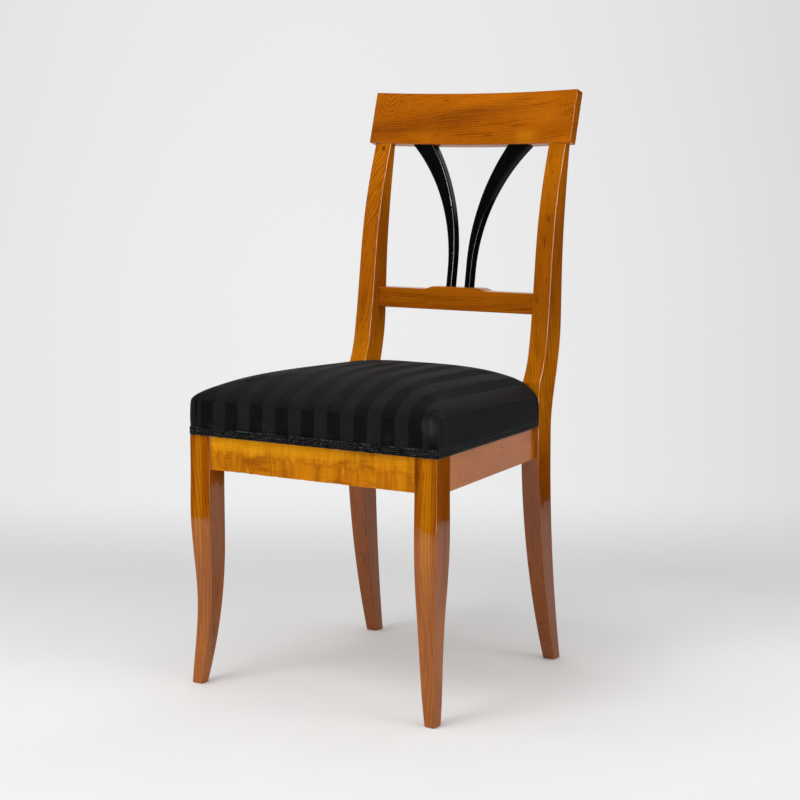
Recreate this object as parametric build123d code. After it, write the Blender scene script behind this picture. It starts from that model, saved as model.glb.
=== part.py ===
from build123d import *

import math
import os

# A Biedermeier side chair in cherry: sabre legs, a bowed crest rail, two ebonised splats, a stuffed seat.
# Lengths are millimetres and angles are degrees. The chair stands on z = 0, is symmetric about x = 0 and
# faces -Y, and its left is -X, as someone in front of it sees it. While it is built, y = 0 is the front
# face of the front legs. At the end the origin moves to the floor under the middle of the whole chair.
# Each piece stands on the one below it, and together they are 900 high.

# Whole chair
front_width = 438.0
seat_depth = 355.0
rear_width = 361.4

# Front legs: square above the rail's lower edge, hollowed and tapered to a toe below it
leg_width = 37.2
leg_depth = 35.3
foot_width = 16.7
foot_depth = 17.0
toe_forward = 3.2
toe_inset = 1.0
knee_swell = 1.2
front_hollow = 4.2
side_hollow = 6.7
knee_height_share = 0.78
hollow_height_share = 0.39
leg_taper_share = 0.67

# Rear posts: sabre leg, block at the seat and curved stile in one length of wood
post_width = 31.0
post_depth = 41.2
stile_draw_in = 3.0
stile_top_width = 30.3
stile_top_depth = 13.6
rear_foot_width = 20.6
rear_foot_depth = 19.7
rear_foot_setback = 58.6
front_bend_drop = 23.5
back_bend_drop = 53.5
arris_rise = 46.5
arris_setback = 3.5
stile_front_shares = [(0.08, 0.17), (0.18, 0.27), (0.40, 0.405), (0.67, 0.575), (0.85, 0.775)]
stile_back_shares = [(0.11, 0.13), (0.23, 0.37), (0.31, 0.49), (0.42, 0.55), (0.62, 0.62), (0.83, 0.80)]

# Seat rails
rail_bottom = 331.5
rail_height = 72.0
rail_thickness = 24.0
front_rail_inset = 2.4
side_rail_front_inset = 2.0
side_rail_rear_inset = 6.3
rear_rail_inset = 3.2
veneer_thickness = 1.0

# Crest rail
crest_overhang = 9.8
crest_height = 85.5
crest_thickness = 18.0
crest_rake = 80.0
crest_lean = 15.84
crest_bow = 13.3
crest_proud = 2.2

# Middle rail of the back
mid_rail_clearance = 71.9
mid_rail_height = 32.9
mid_rail_thickness = 24.0
mid_rail_rake = 47.4
platform_height = 4.5
platform_length = 80.0
platform_ramp = 22.0

# Splats: the pair stands on the middle rail's platform and spreads to the crest rail
splat_height = 229.95
splat_gap = 22.8
splat_foot_width = 11.5
splat_head_inner = 69.1
splat_head_width = 40.9
splat_depth = 15.0
splat_foot_recess = 6.5
splat_rounding = 4.0
splat_inner_straight_share = 0.17
splat_outer_straight_share = 0.12

# Joints: tenons with a glue line round them
glue_gap = 0.1
tenon_thickness = 8.0
rail_tenon_length = 18.0
side_tenon_length = 24.0
tenon_shoulder = 8.0
rear_tenon_cover = 3.0
mid_tenon_length = 18.0
mid_tenon_shoulder = 6.0
crest_tenon_length = 30.0
crest_tenon_thickness = 7.0
crest_tenon_shoulder = 5.0
splat_tenon_length = 12.0
splat_tenon_thickness = 7.0
splat_foot_tenon_width = 7.0
splat_head_tenon_width = 20.0

# Corner blocks glued inside the seat frame
block_reach = 62.0
block_height = 46.0
block_drop = 12.0

# Arrises planed off the wood's edges
leg_easing = 1.2
rail_easing = 1.0
foot_easing = 0.8

# Seat: webbing, hessian, two stuffings, cover and gimp
webbing_width = 50.0
webbing_thickness = 1.2
webbing_end_margin = 7.0
hessian_thickness = 0.8
seat_edge_rise = 29.5
seat_edge_fall = 10.0
seat_crown = 45.5
seat_flat_half = 50.7
seat_corner_radius = 7.0
seat_top_radius = 52.0
crown_shares = [(0.08, 0.007, 0.16), (0.19, 0.03, 0.38), (0.33, 0.08, 0.6), (0.47, 0.16, 0.73)]
crown_shares += [(0.63, 0.3, 0.87), (0.79, 0.49, 0.95), (0.91, 0.69, 1), (0.98, 0.88, 1), (1, 1, 1)]
first_stuffing_height = 18.0
cover_thickness = 1.5
cover_front_swell = 2.5
gimp_drop = 21.1
gimp_height = 12.6
gimp_thickness = 1.8
soft_gap = 0.3
webbing_spread_share = 0.58
webbing_rows = 3

# Cuts run past what they cut by this much
overrun = 5.0

# Heights and places that follow from the sizes above
rail_top = rail_bottom + rail_height
gimp_bottom = rail_top - gimp_drop
seat_edge_height = rail_top + seat_edge_rise
mid_rail_bottom = seat_edge_height + seat_crown + mid_rail_clearance
mid_rail_top = mid_rail_bottom + mid_rail_height
platform_top = mid_rail_top + platform_height
crest_bottom = platform_top + splat_height
lean = math.radians(crest_lean)
chair_height = crest_bottom + crest_height * math.cos(lean)
half_front = front_width / 2
half_rear = rear_width / 2
mid_rail_setback = seat_depth + mid_rail_rake
crest_setback = seat_depth + crest_rake
crest_length = rear_width + 2 * (crest_overhang - stile_draw_in)
splat_head_outer = splat_head_inner + splat_head_width
seat_crown_reach = half_rear - seat_flat_half
leg_front_bend_height = rail_top - front_bend_drop
leg_back_bend_height = rail_top - back_bend_drop
arris_height = rail_top + arris_rise
crest_radius = (crest_length**2 / 4 + crest_bow**2) / (2 * crest_bow)
crest_up = (0, math.sin(lean), math.cos(lean))
crest_plane = Plane(origin=(0, crest_setback, crest_bottom), x_dir=(1, 0, 0), z_dir=crest_up)
post_centre = half_rear - post_width / 2
rear_rail_back = seat_depth + post_depth - rear_rail_inset


def block(low, high):
    """A box from its lowest corner to its highest."""
    sizes = [b - a for a, b in zip(low, high)]
    return Pos(*low) * Box(*sizes, align=(Align.MIN, Align.MIN, Align.MIN))


def grown(low, high, gap=glue_gap):
    """The mortise for a tenon that is a box: the same box with a glue line all round."""
    return block([a - gap for a in low], [b + gap for b in high])


def flipped(solid):
    """The same piece for the other side of the chair."""
    return mirror(solid, about=Plane.YZ)


def face_of(*edges):
    """The flat face inside a closed outline."""
    return make_face(Wire(edges))


def across_chair(outline, x_low, x_high):
    """A side view, drawn as (y, z), sawn through from x_low to x_high."""
    return extrude(Plane.YZ.offset(x_low) * outline, amount=x_high - x_low, dir=(1, 0, 0))


def along_chair(outline, x_outer, y_low, y_high):
    """A front view, drawn as (distance in from x_outer, z), sawn through from y_low to y_high."""
    plane = Plane(origin=(x_outer, y_low, 0), x_dir=(-1, 0, 0), z_dir=(0, 1, 0))
    return extrude(plane * outline, amount=y_high - y_low, dir=(0, 1, 0))


def long_edges(solid, least):
    """The edges that run up the piece for more than a given height."""
    return [edge for edge in solid.edges() if edge.bounding_box().size.Z > least]


def crest_offset(x, layer=0):
    """How far back of its ends' front edge the crest rail's front lies at x, or a surface behind that."""
    return crest_bow - crest_radius + math.sqrt((crest_radius + layer) ** 2 - x**2)


def under_crest(offset):
    """The (y, z) of a point on the crest rail's underside, at a distance back from its front edge."""
    return (crest_setback + offset * math.cos(lean), crest_bottom - offset * math.sin(lean))


def eased_foot(leg):
    """The leg with a small chamfer round the edge it stands on."""
    sole = leg.faces().sort_by(Axis.Z)[0]
    return chamfer(sole.edges(), foot_easing)


# Front legs
def sabre_outline(across, knee, hollow, toe, foot):
    """One view of a front leg: its show face at 0, hollowed under the knee, its far face tapered below."""
    hollow_height = hollow_height_share * rail_bottom
    taper_height = leg_taper_share * rail_bottom
    return face_of(
        Line((0, rail_top), (0, rail_bottom)),
        Spline(
            (0, rail_bottom),
            (-knee, knee_height_share * rail_bottom),
            (hollow, hollow_height),
            (toe, 0),
            tangents=[(0, -1), (toe - hollow, -hollow_height)],
        ),
        Line((toe, 0), (toe + foot, 0)),
        TangentArc((across, taper_height), (toe + foot, 0), tangent=(0, -1)),
        Line((across, taper_height), (across, rail_top)),
        Line((across, rail_top), (0, rail_top)),
    )


def front_leg():
    side_view = sabre_outline(leg_depth, knee_swell, front_hollow, -toe_forward, foot_depth)
    front_view = sabre_outline(leg_width, 0, side_hollow, toe_inset, foot_width)
    leg = across_chair(side_view, half_front - leg_width - overrun, half_front + overrun)
    leg = leg & along_chair(front_view, half_front, -leg_depth, 2 * leg_depth)
    return eased_foot(chamfer(long_edges(leg, leg_easing), leg_easing))


# Rear posts
stile_front_offset = crest_offset(post_centre) + crest_proud
stile_top_front = under_crest(stile_front_offset)
stile_top_back = under_crest(stile_front_offset + stile_top_depth)


def curve_between(low, high, shares):
    """A smooth curve up through points at shares of the rise and of the way across."""
    rise, way = high[1] - low[1], high[0] - low[0]
    points = [(low[0] + way * over, low[1] + rise * up) for up, over in shares]
    return Spline(low, *points, high)


def rear_post():
    front, back = seat_depth, seat_depth + post_depth
    front_bend, back_bend = (front, leg_front_bend_height), (back, leg_back_bend_height)
    toe = (front + rear_foot_setback, 0)
    heel = (toe[0] + rear_foot_depth, 0)
    arris = (front + arris_setback, arris_height)
    side_view = face_of(
        TangentArc(front_bend, toe, tangent=(0, -1)),
        Line(front_bend, (front, rail_top)),
        Line((front, rail_top), arris),
        curve_between(arris, stile_top_front, stile_front_shares),
        Line(stile_top_front, stile_top_back),
        curve_between((back, leg_front_bend_height), stile_top_back, stile_back_shares),
        Line((back, leg_front_bend_height), back_bend),
        TangentArc(back_bend, heel, tangent=(0, -1)),
        Line(heel, toe),
    )
    inner_top = stile_draw_in + stile_top_width
    front_view = face_of(
        Line((0, 0), (0, arris_height)),
        Line((0, arris_height), (stile_draw_in, crest_bottom)),
        Line((stile_draw_in, crest_bottom), (inner_top, crest_bottom)),
        Line((inner_top, crest_bottom), (post_width, arris_height)),
        Line((post_width, arris_height), (post_width, rail_bottom)),
        TangentArc((post_width, rail_bottom), (rear_foot_width, 0), tangent=(0, -1)),
        Line((rear_foot_width, 0), (0, 0)),
    )
    post = across_chair(side_view, half_rear - post_width - overrun, half_rear + overrun)
    post = post & along_chair(front_view, half_rear, front - overrun, crest_setback + 2 * post_depth)
    return eased_foot(post)


# Every tenon is a box between two corners, and its mortise is the same box with the glue line
rail_tenon_heights = (rail_bottom + tenon_shoulder, rail_top - tenon_shoulder)
front_rail_front = front_rail_inset + veneer_thickness
front_rail_end = half_front - leg_width
front_tenon_y = front_rail_front + (rail_thickness - tenon_thickness) / 2
front_tenon = (
    (front_rail_end - overrun, front_tenon_y, rail_tenon_heights[0]),
    (front_rail_end + rail_tenon_length, front_tenon_y + tenon_thickness, rail_tenon_heights[1]),
)

rear_rail_front = rear_rail_back - rail_thickness
rear_rail_end = half_rear - post_width
rear_tenon_y = rear_rail_back - rear_tenon_cover - tenon_thickness
rear_tenon = (
    (rear_rail_end - overrun, rear_tenon_y, rail_tenon_heights[0]),
    (rear_rail_end + rail_tenon_length, rear_tenon_y + tenon_thickness, rail_tenon_heights[1]),
)

side_front = (half_front - side_rail_front_inset, leg_depth)
side_rear = (half_rear - side_rail_rear_inset, seat_depth)
side_angle = math.atan2(side_front[0] - side_rear[0], side_rear[1] - side_front[1])
side_across = rail_thickness / math.cos(side_angle)
side_front_middle = side_front[0] - side_across / 2
side_rear_middle = side_rear[0] - side_across / 2
side_front_tenon = (
    (side_front_middle - tenon_thickness / 2, leg_depth - side_tenon_length, rail_tenon_heights[0]),
    (side_front_middle + tenon_thickness / 2, leg_depth + overrun, rail_tenon_heights[1]),
)
side_rear_tenon = (
    (side_rear_middle - tenon_thickness / 2, seat_depth - overrun, rail_tenon_heights[0]),
    (side_rear_middle + tenon_thickness / 2, seat_depth + side_tenon_length, rail_tenon_heights[1]),
)

mid_tenon_y = mid_rail_setback + (mid_rail_thickness - tenon_thickness) / 2
mid_tenon = (
    (rear_rail_end - overrun, mid_tenon_y, mid_rail_bottom + mid_tenon_shoulder),
    (rear_rail_end + mid_tenon_length, mid_tenon_y + tenon_thickness, mid_rail_top - mid_tenon_shoulder),
)

crest_tenon_y = stile_front_offset + (stile_top_depth - crest_tenon_thickness) / 2
stile_top_outer = half_rear - stile_draw_in
crest_tenon = (
    (stile_top_outer - stile_top_width + crest_tenon_shoulder, crest_tenon_y, 0),
    (stile_top_outer - crest_tenon_shoulder, crest_tenon_y + crest_tenon_thickness, crest_tenon_length),
)

splat_tenon_recess = (splat_depth - splat_tenon_thickness) / 2
splat_foot_front = mid_rail_setback + splat_foot_recess
splat_foot_tenon_x = (splat_gap + splat_foot_width - splat_foot_tenon_width) / 2
splat_foot_tenon_y = splat_foot_front + splat_tenon_recess
splat_foot_tenon = (
    (splat_foot_tenon_x, splat_foot_tenon_y, platform_top - splat_tenon_length),
    (splat_foot_tenon_x + splat_foot_tenon_width, splat_foot_tenon_y + splat_tenon_thickness, platform_top),
)
crest_back_offset = crest_offset(splat_head_outer, crest_thickness)
splat_head_front = (crest_offset(splat_head_inner) + crest_back_offset - splat_depth) / 2
splat_head_tenon_x = (splat_head_inner + splat_head_outer - splat_head_tenon_width) / 2
splat_head_tenon_y = splat_head_front + splat_tenon_recess
splat_head_tenon_back = splat_head_tenon_y + splat_tenon_thickness
splat_head_tenon = (
    (splat_head_tenon_x, splat_head_tenon_y, 0),
    (splat_head_tenon_x + splat_head_tenon_width, splat_head_tenon_back, splat_tenon_length),
)


# Seat frame
def front_rail():
    low = (-front_rail_end, front_rail_front, rail_bottom)
    high = (front_rail_end, front_rail_front + rail_thickness, rail_top)
    tenon = block(*front_tenon)
    return block(low, high) + tenon + flipped(tenon)


def front_rail_veneer():
    low = (-front_rail_end, front_rail_inset, rail_bottom)
    return block(low, (front_rail_end, front_rail_front, rail_top))


def rear_rail(posts):
    low = (-post_centre, rear_rail_front, rail_bottom)
    high = (post_centre, rear_rail_back, rail_top)
    tenon = block(*rear_tenon)
    return block(low, high) - posts + tenon + flipped(tenon)


def side_rail(post):
    rear_x = side_rear[0] - math.tan(side_angle) * overrun
    rear_y = side_rear[1] + overrun
    inner_front, inner_rear = (side_front[0] - side_across, side_front[1]), (rear_x - side_across, rear_y)
    plan = make_face(Polyline(side_front, (rear_x, rear_y), inner_rear, inner_front, close=True))
    rail = extrude(Pos(0, 0, rail_bottom) * plan, amount=rail_height, dir=(0, 0, 1)) - post
    rail = rail.solids().sort_by(SortBy.VOLUME)[-1]
    return Part(rail.wrapped) + block(*side_front_tenon) + block(*side_rear_tenon)


def corner_block(corner, along_x, along_y, frame):
    """A three-cornered block, scribed round the leg and to both rails."""
    top = rail_top - block_drop
    ends = [(corner[0] + along_x, corner[1]), (corner[0], corner[1] + along_y)]
    plan = make_face(Polyline(corner, *ends, close=True))
    piece = extrude(Pos(0, 0, top - block_height) * plan, amount=block_height, dir=(0, 0, 1))
    for part in frame:
        piece = piece - part
    return piece.solids().sort_by(SortBy.VOLUME)[-1]


# Back
def crest_rail():
    half = crest_length / 2
    plan = face_of(
        ThreePointArc((-half, crest_offset(half)), (0, crest_bow), (half, crest_offset(half))),
        Line((half, crest_offset(half)), (half, crest_offset(half, crest_thickness))),
        ThreePointArc(
            (half, crest_offset(half, crest_thickness)),
            (0, crest_bow + crest_thickness),
            (-half, crest_offset(half, crest_thickness)),
        ),
        Line((-half, crest_offset(half, crest_thickness)), (-half, crest_offset(half))),
    )
    board = extrude(plan, amount=crest_height, dir=(0, 0, 1))
    board = chamfer(board.edges(), rail_easing)
    for low, high in (crest_tenon, splat_head_tenon):
        mortise = grown((low[0], low[1], -overrun), high)
        board = board - mortise - flipped(mortise)
    return crest_plane * board


def mid_rail(posts):
    half = platform_length / 2
    ramp_start, ramp_middle = half + platform_ramp, half + platform_ramp / 2
    ramp_height = mid_rail_top + platform_height / 2
    edges = [
        Line((-half, platform_top), (half, platform_top)),
        Line((-post_centre, mid_rail_bottom), (post_centre, mid_rail_bottom)),
    ]
    for side in (-1, 1):
        turn, end = (side * ramp_middle, ramp_height), (side * post_centre, mid_rail_top)
        edges += [
            TangentArc((side * half, platform_top), turn, tangent=(side, 0)),
            TangentArc((side * ramp_start, mid_rail_top), turn, tangent=(-side, 0)),
            Line((side * ramp_start, mid_rail_top), end),
            Line(end, (side * post_centre, mid_rail_bottom)),
        ]
    outline = face_of(*edges)
    rail = along_chair(outline, 0, mid_rail_setback, mid_rail_setback + mid_rail_thickness)
    long_ones = [edge for edge in rail.edges() if edge.bounding_box().size.Y < rail_easing]
    long_ones = [edge for edge in long_ones if edge.bounding_box().size.X > rail_easing]
    rail = chamfer(long_ones, rail_easing) - posts
    low, high = splat_foot_tenon
    mortise = grown(low, (high[0], high[1], high[2] + overrun))
    tenon = block(*mid_tenon)
    rail = rail - mortise - flipped(mortise)
    return rail + tenon + flipped(tenon)


def splat():
    """The right splat, sawn from a flat board: its sides rise straight, then turn outwards in arcs."""
    head_front = under_crest(splat_head_front)
    across, up = head_front[0] - splat_foot_front, head_front[1] - platform_top
    rise = math.hypot(across, up)
    board = Plane(origin=(0, splat_foot_front, platform_top), x_dir=(1, 0, 0), z_dir=(0, -up, across))
    inner_foot, outer_foot = splat_gap / 2, splat_gap / 2 + splat_foot_width
    inner_bend = (inner_foot, splat_inner_straight_share * rise)
    outer_bend = (outer_foot, splat_outer_straight_share * rise)
    outline = face_of(
        Line((inner_foot, -splat_depth), inner_bend),
        TangentArc(inner_bend, (splat_head_inner, rise), tangent=(0, 1)),
        Line((splat_head_inner, rise), (splat_head_outer, rise)),
        TangentArc(outer_bend, (splat_head_outer, rise), tangent=(0, 1)),
        Line(outer_bend, (outer_foot, -splat_depth)),
        Line((outer_foot, -splat_depth), (inner_foot, -splat_depth)),
    )
    bar = extrude(board * outline, amount=-splat_depth)
    front_face, _ = bar.faces().sort_by(SortBy.AREA)[-2:].sort_by(Axis.Y)
    bar = fillet(long_edges(front_face, splat_depth), splat_rounding)
    crest_space = crest_plane * block((0, -crest_height, 0), (half_rear, crest_height, crest_height))
    platform_space = block((0, 0, 0), (half_rear, chair_height, platform_top))
    head = crest_plane * block(*splat_head_tenon)
    return bar - crest_space - platform_space + block(*splat_foot_tenon) + head


# Seat
def seat_turns(inset, radius, level, fall=0):
    """The round corners of the seat's outline, drawn in from the cover's outside and falling to the back."""
    front_y, rear_y = -cover_thickness, rear_rail_back + cover_thickness
    front_half = half_front + cover_front_swell
    taper = (front_half - half_rear) / (seat_depth - front_y)
    drawn_in = inset * math.hypot(1, taper)
    low, high = front_y + inset, rear_y - inset
    low_half = front_half - (low - front_y) * taper - drawn_in
    high_half = front_half - (high - front_y) * taper - drawn_in
    corners = [Vector(-low_half, low), Vector(low_half, low)]
    corners += [Vector(high_half, high), Vector(-high_half, high)]

    def lifted(point):
        return (point.X, point.Y, level - fall * (point.Y - front_y) / (rear_y - front_y))

    turns = []
    for number, corner in enumerate(corners):
        back = (corners[number - 1] - corner).normalized()
        ahead = (corners[(number + 1) % 4] - corner).normalized()
        half_angle = math.radians(back.get_angle(ahead)) / 2
        middle = corner + (back + ahead).normalized() * (radius / math.sin(half_angle) - radius)
        reach = radius / math.tan(half_angle)
        turns.append((lifted(corner + back * reach), lifted(middle), lifted(corner + ahead * reach)))
    return turns


def seat_face(turns):
    """The flat face inside the outline that has these round corners."""
    edges = []
    for turn, following in zip(turns, turns[1:] + turns[:1]):
        edges += [ThreePointArc(*turn), Line(turn[2], following[0])]
    return face_of(*edges)


def seat_slab(inset, radius, bottom, height):
    """A flat slice of the seat's outline."""
    return extrude(seat_face(seat_turns(inset, radius, bottom)), amount=height, dir=(0, 0, 1))


def seat_band(lower, upper):
    """The skin between two outlines: a curved patch at each corner and flat ones between."""
    faces = []
    for number, (low, high) in enumerate(zip(lower, upper)):
        faces.append(Face.make_surface_from_curves(ThreePointArc(*low), ThreePointArc(*high)))
        next_low, next_high = lower[(number + 1) % 4][0], upper[(number + 1) % 4][0]
        faces.append(make_face(Polyline(low[2], next_low, next_high, close=True)))
        faces.append(make_face(Polyline(low[2], next_high, high[2], close=True)))
    return faces


def crowned_form(depth, bottom):
    """The stuffed seat's form at a depth below the cover's outside, from a level up over the crown."""
    rings = [seat_turns(depth, seat_corner_radius - depth, bottom)]
    rings.append(seat_turns(depth, seat_corner_radius - depth, seat_edge_height, seat_edge_fall))
    for up, across, rounder in crown_shares:
        inset = seat_crown_reach * across + depth
        radius = seat_corner_radius + (seat_top_radius - seat_corner_radius) * rounder - depth
        height = seat_edge_height + (seat_crown - depth) * up
        rings.append(seat_turns(inset, radius, height, seat_edge_fall * (1 - up)))
    faces = [seat_face(rings[0]), seat_face(rings[-1])]
    for lower, upper in zip(rings, rings[1:]):
        faces += seat_band(lower, upper)
    return Part(Solid(Shell(faces)).wrapped)


def post_notch(gap):
    """The corner of the seat that a rear post takes, with a gap to the stuffing."""
    inner = half_rear - post_width - gap
    return block((inner, seat_depth - gap, rail_bottom), (front_width, 2 * seat_depth, chair_height))


def woven_strip(start, end, crossings, first_level):
    """One web seen from its side: it lies on the rails and goes over and under the webs that it crosses."""
    path = [(start, 0)]
    for number, place in enumerate(crossings):
        height = webbing_thickness * ((first_level + number) % 2)
        path += [(place - webbing_width / 2, height), (place + webbing_width / 2, height)]
    path.append((end, 0))
    upper = [(at, height + webbing_thickness) for at, height in reversed(path)]
    return make_face(Polyline(*path, *upper, close=True))


def webbing():
    """Webs from front to back and from side to side, woven through each other on top of the rails."""
    pitch_x = webbing_spread_share * rear_rail_end
    pitch_y = (rear_rail_front - front_rail_front - rail_thickness) / (webbing_rows + 1)
    middle = (webbing_rows - 1) / 2
    columns = [(number - middle) * pitch_x for number in range(webbing_rows)]
    rows = [front_rail_front + rail_thickness + (number + 1) * pitch_y for number in range(webbing_rows)]
    lengthwise, crosswise = [], []
    for number, x in enumerate(columns):
        strip = woven_strip(webbing_end_margin, rear_rail_back - webbing_end_margin, rows, number)
        strip = across_chair(strip, x - webbing_width / 2, x + webbing_width / 2)
        lengthwise += [Pos(0, 0, rail_top) * strip]
    for number, y in enumerate(rows):
        run = y + webbing_width / 2 - side_front[1]
        half = side_front[0] - run * math.tan(side_angle) - webbing_end_margin
        strip = woven_strip(-half, half, columns, number + 1)
        strip = along_chair(strip, 0, y - webbing_width / 2, y + webbing_width / 2)
        crosswise += [Pos(0, 0, rail_top) * strip]
    return Part() + lengthwise, Part() + crosswise


def cover_rebate():
    """The wood cut away above the gimp's lower edge, so that the cover lies flat over legs and rails."""
    span = front_width
    around = block((-span, -span, gimp_bottom), (span, seat_depth - overrun, rail_top + overrun))
    kept = seat_slab(cover_thickness, seat_corner_radius - cover_thickness, gimp_bottom, rail_height)
    return around - kept


def seat(frame):
    """Hessian, two stuffings, cover and gimp, cut away where the rear posts stand."""
    notch = post_notch(soft_gap)
    notches = [notch, flipped(notch)]
    inner_radius = seat_corner_radius - cover_thickness
    stack = 2 * webbing_thickness + hessian_thickness
    on_webs = rail_top + 2 * webbing_thickness
    sheet = seat_slab(webbing_end_margin, cover_thickness, on_webs, hessian_thickness)
    pocket = seat_slab(webbing_end_margin - soft_gap, cover_thickness, rail_top, stack)
    inner = crowned_form(cover_thickness, rail_top)
    cover = crowned_form(0, gimp_bottom) - inner
    cover = cover - seat_slab(rail_thickness / 2, inner_radius, gimp_bottom, rail_top - gimp_bottom)
    for part in frame:
        cover = cover - part
    inner = inner - pocket
    band = seat_slab(-gimp_thickness, seat_corner_radius + gimp_thickness, gimp_bottom, gimp_height)
    band = band - seat_slab(0, seat_corner_radius, gimp_bottom, gimp_height)
    for cut in notches:
        sheet, inner, cover, band = sheet - cut, inner - cut, cover - cut, band - cut
    cover = cover.solids().sort_by(SortBy.VOLUME)[-1]
    split_height = rail_top + first_stuffing_height
    span = chair_height
    lower_half = block((-span, -span, 0), (span, span, split_height))
    upper_half = block((-span, -span, split_height), (span, span, span))
    front_band, back_band = sorted(band.solids(), key=lambda solid: solid.center().Y)
    return {
        "base_hessian": sheet,
        "first_stuffing": inner & lower_half,
        "top_stuffing": inner & upper_half,
        "seat_cover": cover,
        "gimp_front_and_sides": front_band,
        "gimp_back": back_band,
    }


def chair():
    leg, post = front_leg(), rear_post()
    posts = [post, flipped(post)]
    pieces = {
        "crest_rail": crest_rail(),
        "mid_rail": mid_rail(posts),
        "front_rail": front_rail(),
        "front_rail_veneer": front_rail_veneer(),
        "rear_rail": rear_rail(posts),
    }
    right_rail = side_rail(post)
    front_block = corner_block(
        (half_front, front_rail_front),
        -block_reach - leg_width,
        block_reach + leg_depth,
        [leg, pieces["front_rail"], right_rail],
    )
    rear_block = corner_block(
        (half_rear, rear_rail_back),
        -block_reach - post_width,
        -block_reach - post_depth,
        [post, pieces["rear_rail"], right_rail],
    )
    rebate = cover_rebate()
    leg, right_rail = leg - rebate, right_rail - rebate
    for tenon in (front_tenon, side_front_tenon):
        leg = leg - grown(*tenon)
    for tenon in (rear_tenon, side_rear_tenon, mid_tenon):
        post = post - grown(*tenon)
    pairs = {
        "front_leg": leg,
        "rear_post": post + crest_plane * block(*crest_tenon),
        "side_rail": right_rail,
        "splat": splat(),
        "corner_block_front": front_block,
        "corner_block_rear": rear_block,
    }
    for name, piece in pairs.items():
        pieces[name + "_right"] = piece
        pieces[name + "_left"] = flipped(piece)
    pieces["webbing_lengthwise"], pieces["webbing_crosswise"] = webbing()
    frame = [pieces[name] for name in pieces if name.startswith(("front_", "side_", "rear_rail"))]
    pieces.update(seat(frame))
    return pieces


os.makedirs("parts", exist_ok=True)
pieces = chair()
boxes = [piece.bounding_box() for piece in pieces.values()]
middle_y = (min(box.min.Y for box in boxes) + max(box.max.Y for box in boxes)) / 2
print("origin lies", round(middle_y, 3), "behind the front legs' front face")
for name, piece in pieces.items():
    export_step(Pos(0, -middle_y, 0) * piece, os.path.join("parts", name + ".step"))
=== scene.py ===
import math

import bmesh
import bpy
import numpy as np
from bpy.props import FloatProperty, FloatVectorProperty, IntProperty, PointerProperty
from bpy.types import Operator, Panel, PropertyGroup
from mathutils import Matrix, Vector


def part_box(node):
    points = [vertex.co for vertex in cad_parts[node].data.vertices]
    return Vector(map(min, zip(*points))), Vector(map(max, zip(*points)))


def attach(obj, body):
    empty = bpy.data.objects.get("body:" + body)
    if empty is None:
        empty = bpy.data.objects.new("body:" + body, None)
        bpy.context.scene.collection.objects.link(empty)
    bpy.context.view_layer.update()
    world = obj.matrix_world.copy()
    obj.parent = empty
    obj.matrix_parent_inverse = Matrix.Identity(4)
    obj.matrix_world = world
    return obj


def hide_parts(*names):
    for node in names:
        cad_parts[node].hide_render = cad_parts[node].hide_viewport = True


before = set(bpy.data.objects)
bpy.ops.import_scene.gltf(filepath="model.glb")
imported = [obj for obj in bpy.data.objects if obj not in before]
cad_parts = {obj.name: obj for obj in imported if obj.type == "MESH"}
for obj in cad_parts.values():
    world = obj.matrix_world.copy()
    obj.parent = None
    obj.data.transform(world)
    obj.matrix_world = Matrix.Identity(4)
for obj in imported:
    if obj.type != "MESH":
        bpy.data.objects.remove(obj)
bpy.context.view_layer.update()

bl_info = {
    "name": "Biedermeier side chair",
    "version": (1, 0, 0),
    "blender": (4, 5, 0),
    "location": "3D View > Sidebar > Chair",
    "description": "Finishes a cherry side chair with ebonised splats and a striped seat",
    "category": "Object",
}

# Axes of the chair
ACROSS, ALONG, UP = 0, 1, 2


# Sizes and colours that a user would change


class WoodSettings(PropertyGroup):
    rounding: FloatProperty(
        name="Edge rounding",
        description="Radius that wear has left on the edges of the posts and rails",
        default=0.0018,
        min=0.0002,
        subtype="DISTANCE",
        unit="LENGTH",
    )
    light: FloatVectorProperty(
        name="Light cherry",
        description="Colour of the early wood under the polish",
        default=(0.44, 0.118, 0.0020),
        size=3,
        subtype="COLOR",
        min=0.0,
        max=1.0,
    )
    dark: FloatVectorProperty(
        name="Dark cherry",
        description="Colour of the late wood under the polish",
        default=(0.160, 0.030, 0.0006),
        size=3,
        subtype="COLOR",
        min=0.0,
        max=1.0,
    )
    ring_pitch: FloatProperty(
        name="Ring pitch",
        description="Mean distance between growth rings",
        default=0.0042,
        min=0.0005,
        subtype="DISTANCE",
        unit="LENGTH",
    )
    ebony: FloatVectorProperty(
        name="Ebonised black",
        description="Colour of the blackened splats",
        default=(0.0022, 0.0020, 0.0020),
        size=3,
        subtype="COLOR",
        min=0.0,
        max=1.0,
    )


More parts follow.
